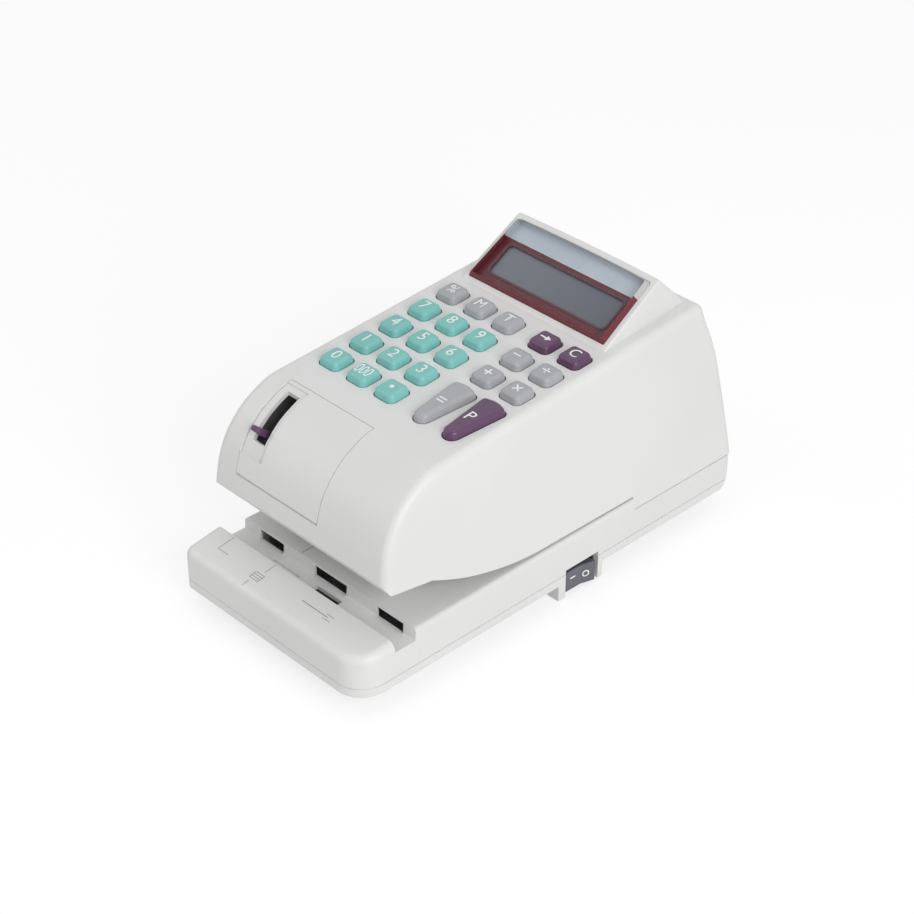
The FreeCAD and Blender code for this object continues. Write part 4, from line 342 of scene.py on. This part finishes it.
def lcd_glass():
    """Blank liquid crystal cell behind its polariser, with a painted reflection that leaves it lighter on
    the left and a little darker to the right.
    """
    f = Finish("lcd_glass")
    # Painted reflection: the cell is lighter on the left and darker on the right.
    painted_reflection = f.axis("X").smooth(-36.0 * MM, 36.0 * MM)
    cloud = f.noise(30.0, 3.0)
    colour = f.blend(painted_reflection * 0.8 + cloud * 0.2, tone(118, 122, 131), tone(94, 98, 109))
    return f.surface({"Base Color": colour, "Roughness": cloud * 0.08 + 0.22,
                      "Normal": f.bump(f.noise(2400.0, 2.0), 0.003 * MM)})


def board():
    """Circuit board: green mask over copper tracks, with tinned pads."""
    f = Finish("board_green")
    track = f.tracks(170.0)
    pad = 1.0 - f.cells(260.0).smooth(0.16, 0.2)
    weave = f.noise(1800.0, 2.0)
    mask = f.blend(track, tone(26, 92, 46), tone(44, 122, 62))
    return f.surface({"Base Color": f.blend(pad, mask, tone(196, 196, 190)), "Metallic": pad * 0.9,
                      "Roughness": weave * 0.12 + 0.3,
                      "Normal": f.bump(track * 0.5 + pad * 0.5 + weave * 0.1, 0.02 * MM)})


def laminated():
    """Transformer: lacquered laminations."""
    f = Finish("core_steel")
    sheets = f.bands(320.0, 0.4)
    spots = f.noise(180.0, 4.0, 0.6)
    colour = f.blend(sheets * 0.6 + spots * 0.4, tone(38, 38, 41), tone(74, 70, 66))
    return f.surface({"Base Color": colour, "Metallic": spots * 0.3, "Roughness": spots * 0.2 + 0.4,
                      "Normal": f.bump(sheets, 0.05 * MM)})


def wound():
    """Coil: varnished copper wire in even turns."""
    f = Finish("coil_wrap")
    turns = f.bands(800.0, 0.2)
    stain = f.noise(220.0, 3.0)
    colour = f.blend(turns * 0.7 + stain * 0.3, tone(120, 62, 28), tone(196, 122, 62))
    return f.surface({"Base Color": colour, "Metallic": turns * 0.7, "Roughness": stain * 0.2 + 0.28,
                      "Normal": f.bump(turns, 0.06 * MM)})


def inked_felt():
    """Felt soaked with dark ink."""
    f = Finish("felt")
    fibre = f.noise(2200.0, 6.0, 0.75)
    soak = f.noise(240.0, 3.0)
    colour = f.blend((fibre * 0.5 + soak * 0.5).smooth(0.35, 0.65), tone(24, 16, 40), tone(62, 46, 88))
    return f.surface({"Base Color": colour, "Roughness": fibre * 0.2 + 0.72,
                      "Normal": f.bump(fibre, 0.2 * MM)})


def printed(name, base, worn):
    """Printed ink, also used dark as painted shade: nearly flat colour with a faint screen texture and
    soft wear.
    """
    f = Finish(name)
    screen = f.noise(3600.0, 2.0)
    wear = f.noise(420.0, 4.0, 0.6)
    return f.surface({"Base Color": f.blend(wear.smooth(0.52, 0.78), base, worn),
                      "Roughness": screen * 0.1 + 0.42, "Normal": f.bump(screen, 0.004 * MM)})


# Scales of a pattern that draw it out into lines along one axis.
ALONG_X, ALONG_Z = (0.06, 1.0, 1.0), (1.0, 1.0, 0.06)
SHEET_LINES, SCREW_LINES = (1.0, 0.05, 1.0), (1.0, 0.1, 1.0)

FINISHES = {
    "case_plastic": moulded("case_plastic", tone(226, 226, 225), tone(222, 222, 221)),
    "pan_plastic": moulded("pan_plastic", tone(206, 206, 204), tone(199, 199, 197), 0.5),
    "key_teal": moulded("key_teal", tone(126, 194, 188), tone(117, 186, 180), 0.36),
    "key_grey": moulded("key_grey", tone(170, 171, 175), tone(163, 164, 168), 0.36),
    "key_purple": moulded("key_purple", tone(92, 60, 92), tone(83, 52, 84), 0.34),
    "window_clear": clear_window(),
    "frame_red": red_print(),
    "lcd_glass": lcd_glass(),
    "board_green": board(),
    "switch_black": moulded("switch_black", tone(30, 30, 33), tone(24, 24, 27), 0.36),
    "switch_grey": moulded("switch_grey", tone(98, 98, 108), tone(90, 90, 100), 0.34),
    "sheet_steel": drawn_metal("sheet_steel", tone(190, 193, 196), tone(150, 154, 160), 0.36, SHEET_LINES),
    "motor_steel": drawn_metal("motor_steel", tone(168, 170, 174), tone(128, 131, 137), 0.34, ALONG_Z),
    "core_steel": laminated(),
    "coil_wrap": wound(),
    "screw_steel": drawn_metal("screw_steel", tone(196, 197, 199), tone(150, 151, 154), 0.3, SCREW_LINES),
    "gear_white": moulded("gear_white", tone(232, 230, 220), tone(224, 221, 209), 0.36),
    "belt_rubber": rubber("belt_rubber", tone(24, 24, 25), tone(48, 47, 47)),
    "roller_rubber": rubber("roller_rubber", tone(32, 32, 34), tone(62, 61, 60)),
    "type_plastic": moulded("type_plastic", tone(42, 42, 46), tone(32, 32, 36), 0.34),
    "brass_gear": drawn_metal("brass_gear", tone(208, 172, 92), tone(160, 122, 56), 0.3, ALONG_X),
    "felt": inked_felt(),
    "foot_rubber": rubber("foot_rubber", tone(30, 30, 31), tone(58, 57, 56)),
}
FINISH_SLOT = {part["node"]: part["material_slot"] for part in frame["record"]["subparts"]}

for node, slot in FINISH_SLOT.items():
    dress(nodes[node], FINISHES[slot])

LEGEND = printed("legend_white", tone(240, 241, 242), tone(222, 224, 226))
# The ring round the LCD takes a dark colour that is painted shade of its recess, not ink.
BEZEL_SHADE = printed("bezel_painted_shade", tone(66, 52, 60), tone(56, 44, 52))
GUIDE = printed("guide_grey", tone(140, 140, 140), tone(165, 165, 163))


# ---------------------------------------------------------------- legends on keys and switch
INK = 0.04 * MM           # thickness of a printed mark
WELD = 1e-4               # how near the points of a character are one, as a share of its size
DIGIT = 8.4               # size of a digit's type, in millimetres

# Text, size of its type in millimetres, and width as a share of the type's own.
LEGENDS = {"key_0": ("0", DIGIT, 1.0), "key_000": ("000", 9.0, 0.66), "key_point": ("\u2022", 9.0, 1.0)}
LEGENDS.update({"key_" + digit: (digit, DIGIT, 1.0) for digit in "123456789"})
LEGENDS.update({
    "key_plus": ("+", 9.4, 1.0), "key_times": ("\u00d7", 9.4, 1.0), "key_minus": ("\u2212", 9.0, 1.0),
    "key_divide": ("\u00f7", 9.2, 1.0), "key_percent": ("%", 7.6, 1.0), "key_memory": ("M", 7.6, 0.95),
    "key_total": ("T", 7.8, 1.0), "key_clear": ("C", 7.8, 1.0), "key_equals": ("=", 9.6, 1.0),
    "key_print": ("P", 8.6, 1.0),
})


def print_on(piece, carrier, body, axis="z"):
    """Lay a flat piece on a CAD node along an axis, give it the thickness of ink, and let it ride."""
    settings = {"wrap_method": "PROJECT", "use_negative_direction": True, "use_positive_direction": False,
                "use_project_" + axis: True, "target": nodes[carrier], "offset": INK / 2}
    modify(piece, "SHRINKWRAP", **settings)
    modify(piece, "SOLIDIFY", thickness=INK, offset=1.0)
    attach(piece, body)


def lettering(name, text, size, slim):
    """Flat characters as a mesh with its middle at the origin."""
    deselect()
    bpy.ops.object.text_add()
    words = bpy.context.object
    words.data.body = text
    words.data.size = size
    words.data.resolution_u = 3
    bpy.ops.object.convert(target="MESH")
    words = bpy.context.object
    rename(words, name)
    low = [min(v.co[i] for v in words.data.vertices) for i in (0, 1)]
    high = [max(v.co[i] for v in words.data.vertices) for i in (0, 1)]
    words.location = (-(low[0] + high[0]) / 2, -(low[1] + high[1]) / 2, 0.0)
    settle(words)
    words.scale = (slim, 1.0, 1.0)
    settle(words)
    edit(words, "FACE", everywhere, lambda: bpy.ops.mesh.remove_doubles(threshold=size * WELD),
         lambda: bpy.ops.mesh.quads_convert_to_tris(), lambda: bpy.ops.mesh.subdivide(number_cuts=2))
    return words


def arrow():
    """Flat arrow towards +X: a shaft and a filled head."""
    shaft_long, shaft_wide, shaft_x = 3.6 * MM, 0.9 * MM, -1.1 * MM
    head_radius, head_x = 1.9 * MM, 1.3 * MM
    shaft = rectangle("shaft", shaft_long, shaft_wide, (shaft_x, 0.0, 0.0))
    head = start("circle", "head", vertices=3, radius=head_radius, fill_type="NGON",
                 location=(head_x, 0.0, 0.0), rotation=(0.0, 0.0, -pi / 2))
    settle(head)
    mark = join("legend_arrow", [shaft, head])
    divide(mark, 5)
    return mark


def key_legend(key, legend):
    """Lay a legend on the top of its key, following it and moving with it."""
    above = 2.0 * MM
    low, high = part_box(key)
    legend.rotation_euler = (PAD_SLOPE, 0.0, 0.0)
    legend.location = ((low.x + high.x) / 2, (low.y + high.y) / 2, high.z + above)
    settle(legend)
    print_on(legend, key, key + "_body")
    dress(legend, LEGEND)


def switch_legends():
    """Bar and ring on the two halves of the rocker."""
    bar_long, bar_wide = 3.2 * MM, 0.75 * MM
    ring_radius, ring_wide, ring_drop = 1.75 * MM, 0.58 * MM, 1.2 * MM
    before = 4.0 * MM
    low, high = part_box("switch_rocker")
    middle = (low + high) / 2
    bar = rectangle("switch_on", bar_long, bar_wide)
    divide(bar, 2)
    ring = start("circle", "switch_off", vertices=32, radius=ring_radius, fill_type="NGON")
    keep_rim(ring, ring_wide)
    for mark, share, drop in ((bar, -0.25, 0.0), (ring, 0.21, ring_drop)):
        mark.rotation_euler = (pi / 2, 0.0, pi / 2)
        mark.location = (high.x + before, middle.y + share * (high.y - low.y), middle.z - drop)
        settle(mark)
        print_on(mark, "switch_rocker", "rocker", "x")
        dress(mark, LEGEND)


# ---------------------------------------------------------------- guide lines on the table
# Places are in millimetres, with Y from the table's front edge.
LINE = 0.28                             # width of a printed line
CORNER_X, CORNER_Y = -42.9, 10.0        # where the corner of the check goes
CORNER_ARM_X, CORNER_ARM_Y = 7.1, 9.4
FRAME_X = (-18.0, -12.4)                # small hatched frame of the amount's place
FRAME_Y = (7.2, 11.2)
FRAME_LINES = (0.0, 0.33, 0.67, 1.0)    # its level lines, as shares of its depth
FRAME_ENDS = ((-16.4, (2.0, 5.6)), (-14.4, (13.2, 19.4)))    # lines before and behind the frame
ROW_X, ROW_Y = (12.0, 28.4), 12.0       # line of the amount, and short lines beside its right end
BESIDE_ROW_X = (26.6, 31.2)
BESIDE_ROW = (-1.3, 1.4)
DECK_X, DECK_Y = -12.8, (33.2, 43.0)    # line on the deck that shows where the print starts
PROJECT_FROM = 50.0                     # height from which lines are laid down on the table


def strip(x_from, x_to, y_from, y_to):
    """Thin flat strip over the table, cut into short lengths."""
    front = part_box("base_shell")[0].y / MM
    middle = Vector(((x_from + x_to) / 2, front + (y_from + y_to) / 2, PROJECT_FROM)) * MM
    piece = rectangle("strip", (x_to - x_from) * MM, (y_to - y_from) * MM, middle)
    divide(piece, 6)
    return piece


def upright(x, y_span, width=LINE):
    """Line along Y."""
    return strip(x, x + width, *y_span)


def level(x_span, y, width=LINE):
    """Line along X."""
    return strip(*x_span, y, y + width)


def guide_marks():
    """Guide lines printed on the table and the deck."""
    corner = [upright(CORNER_X, (CORNER_Y, CORNER_Y + CORNER_ARM_Y)),
              level((CORNER_X + LINE / 2, CORNER_X + CORNER_ARM_X), CORNER_Y)]
    amount = [upright(x, y_span) for x, y_span in FRAME_ENDS]
    amount += [upright(x, FRAME_Y) for x in FRAME_X]
    amount += [level([x + LINE / 2 for x in FRAME_X], FRAME_Y[0] + (FRAME_Y[1] - FRAME_Y[0]) * share)
               for share in FRAME_LINES]
    row = [level(ROW_X, ROW_Y, 1.5 * LINE)]
    row += [level(BESIDE_ROW_X, ROW_Y + side) for side in BESIDE_ROW]
    marks = join("guide_marks", corner + amount + row)
    deck_mark = upright(DECK_X, DECK_Y, 1.3 * LINE)
    rename(deck_mark, "deck_mark")
    for mark in (marks, deck_mark):
        print_on(mark, "base_shell", "housing")
        dress(mark, GUIDE)


# ---------------------------------------------------------------- print behind the window, and painted shade round the LCD
BEZEL_SIZE = (75.0 * MM, 19.0 * MM)
BEZEL_CORNER = 3.2 * MM
BEZEL_WIDTH = 1.25 * MM
BEZEL_SINK = 0.5 * MM         # fall of the bezel's inner edge
BEZEL_THICK = 0.25 * MM
BEZEL_UP = 17.9 * MM          # its middle, up the display face
BEZEL_DEPTH = 1.02 * MM       # its place below the display face
LEDGE_WIDTH = 1.8 * MM        # covers the ledge that carries the window
PRINT_THICK = 0.03 * MM
BACK_FACE = -0.99             # cosine that the window's back reaches against OFF_HUMP


def lcd_bezel():
    """Bevelled ring round the opening over the LCD, dark with painted shade of the recess."""
    ring = rectangle("lcd_bezel", *BEZEL_SIZE)
    edit(ring, "VERT", everywhere,
         lambda: bpy.ops.mesh.bevel(offset=BEZEL_CORNER, segments=6, affect="VERTICES"))
    keep_rim(ring, BEZEL_WIDTH, BEZEL_SINK)
    modify(ring, "SOLIDIFY", thickness=BEZEL_THICK, offset=1.0)
    ring.rotation_euler = (HUMP_TILT, 0.0, 0.0)
    ring.location = HUMP_FOOT + UP_HUMP * BEZEL_UP - OFF_HUMP * BEZEL_DEPTH
    settle(ring)
    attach(ring, "housing")
    # Dark colour: painted shade of the recess round the LCD.
    dress(ring, BEZEL_SHADE)


def window_print():
    """Print on the back of the window, over the ledge that carries it."""
    ring = bpy.data.objects.new("window_print", nodes["display_window"].data.copy())
    ring.data.name = ring.name
    bpy.context.scene.collection.objects.link(ring)
    edit(ring, "VERT", everywhere, lambda: bpy.ops.mesh.remove_doubles(threshold=0.001 * MM))
    edit(ring, "FACE", lambda mesh, part: part.normal.dot(OFF_HUMP) > BACK_FACE,
         lambda: bpy.ops.mesh.delete(type="FACE"))
    edit(ring, "FACE", everywhere, lambda: bpy.ops.mesh.dissolve_limited(angle_limit=radians(1.0)))
    keep_rim(ring, LEDGE_WIDTH)
    modify(ring, "SOLIDIFY", thickness=PRINT_THICK, offset=-1.0)
    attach(ring, "housing")
    dress(ring, FINISHES["frame_red"])


for key, (text, size, slim) in LEGENDS.items():
    key_legend(key, lettering("legend_" + key[4:], text, size * MM, slim))
key_legend("key_arrow", arrow())
guide_marks()
switch_legends()
lcd_bezel()
window_print()


# ---------------------------------------------------------------- floor, light and camera
# Place, width of the square and watts.
LAMPS = {"key_lamp": ((1.35, -0.42, 0.75), 0.9, 12.5),
         "top_lamp": ((-0.2, 0.3, 1.6), 1.2, 3.4),
         "left_lamp": ((-1.1, -0.9, 0.9), 0.9, 2.6)}
LAMP_AIM = Vector((0.0, 0.0, 50.0)) * MM
FLOOR_WIDTH = 8.0
CAMERA_PLACE = (0.6347, -0.61065, 0.6495)
CAMERA_DOWN = radians(34.27)      # look below the horizon
CAMERA_TURN = radians(46.25)      # turn from looking along +Y
CAMERA_LENS = 92.37               # in millimetres, as the sensor
CAMERA_SENSOR = 36.0
CAMERA_FAR = 20.0


def seen(f):
    """1 for what the camera sees, straight, in gloss or through glass, and 0 for the light it gives."""
    straight = f.add("LightPath", {}, {}, "Is Camera Ray")
    gloss = f.add("LightPath", {}, {}, "Is Glossy Ray")
    through = f.add("LightPath", {}, {}, "Is Transmission Ray")
    return straight.math("ADD", straight + gloss, through, True)


def floor():
    """Plain pale floor that keeps the object's shadow."""
    plate = start("plane", "floor", size=FLOOR_WIDTH)
    f = Finish("floor_pale")
    bare = f.add("BsdfDiffuse", {}, {"Color": f.blend(f.noise(1.5, 2.0), grey(0.80), grey(0.82))})
    faint = f.add("BsdfDiffuse", {}, {"Color": grey(0.34)})
    glow = f.add("Emission", {}, {"Color": grey(1.0), "Strength": 0.71})
    both = f.add("AddShader", {}, {0: faint, 1: glow})
    dress(plate, f.end(f.add("MixShader", {}, {0: seen(f), 1: bare, 2: both})))


def surroundings():
    """White to the eye and in reflections, softer as a light."""
    f = Finish("studio", world=True)
    soft = f.add("Background", {}, {"Color": grey(1.0), "Strength": 0.5})
    white = f.add("Background", {}, {"Color": grey(1.0), "Strength": 1.0})
    bpy.context.scene.world = f.end(f.add("MixShader", {}, {0: seen(f), 1: soft, 2: white}))


def lamp(name, place, width, watts):
    """Square soft lamp aimed at the middle of the object."""
    light = bpy.data.lights.new(name, "AREA")
    light.size = width
    light.energy = watts
    holder = bpy.data.objects.new(name, light)
    holder.location = place
    holder.rotation_euler = (LAMP_AIM - Vector(place)).to_track_quat("-Z", "Y").to_euler()
    bpy.context.scene.collection.objects.link(holder)


def camera():
    """Camera from the front right, looking down on the object."""
    lens = bpy.data.cameras.new("camera")
    lens.lens = CAMERA_LENS
    lens.sensor_width = CAMERA_SENSOR
    lens.clip_end = CAMERA_FAR
    eye = bpy.data.objects.new("camera", lens)
    eye.location = CAMERA_PLACE
    eye.rotation_euler = (pi / 2 - CAMERA_DOWN, 0.0, CAMERA_TURN)
    bpy.context.scene.collection.objects.link(eye)
    bpy.context.scene.camera = eye


floor()
surroundings()
for name, (place, width, watts) in LAMPS.items():
    lamp(name, place, width, watts)
camera()
bpy.context.scene.view_settings.view_transform = "Standard"
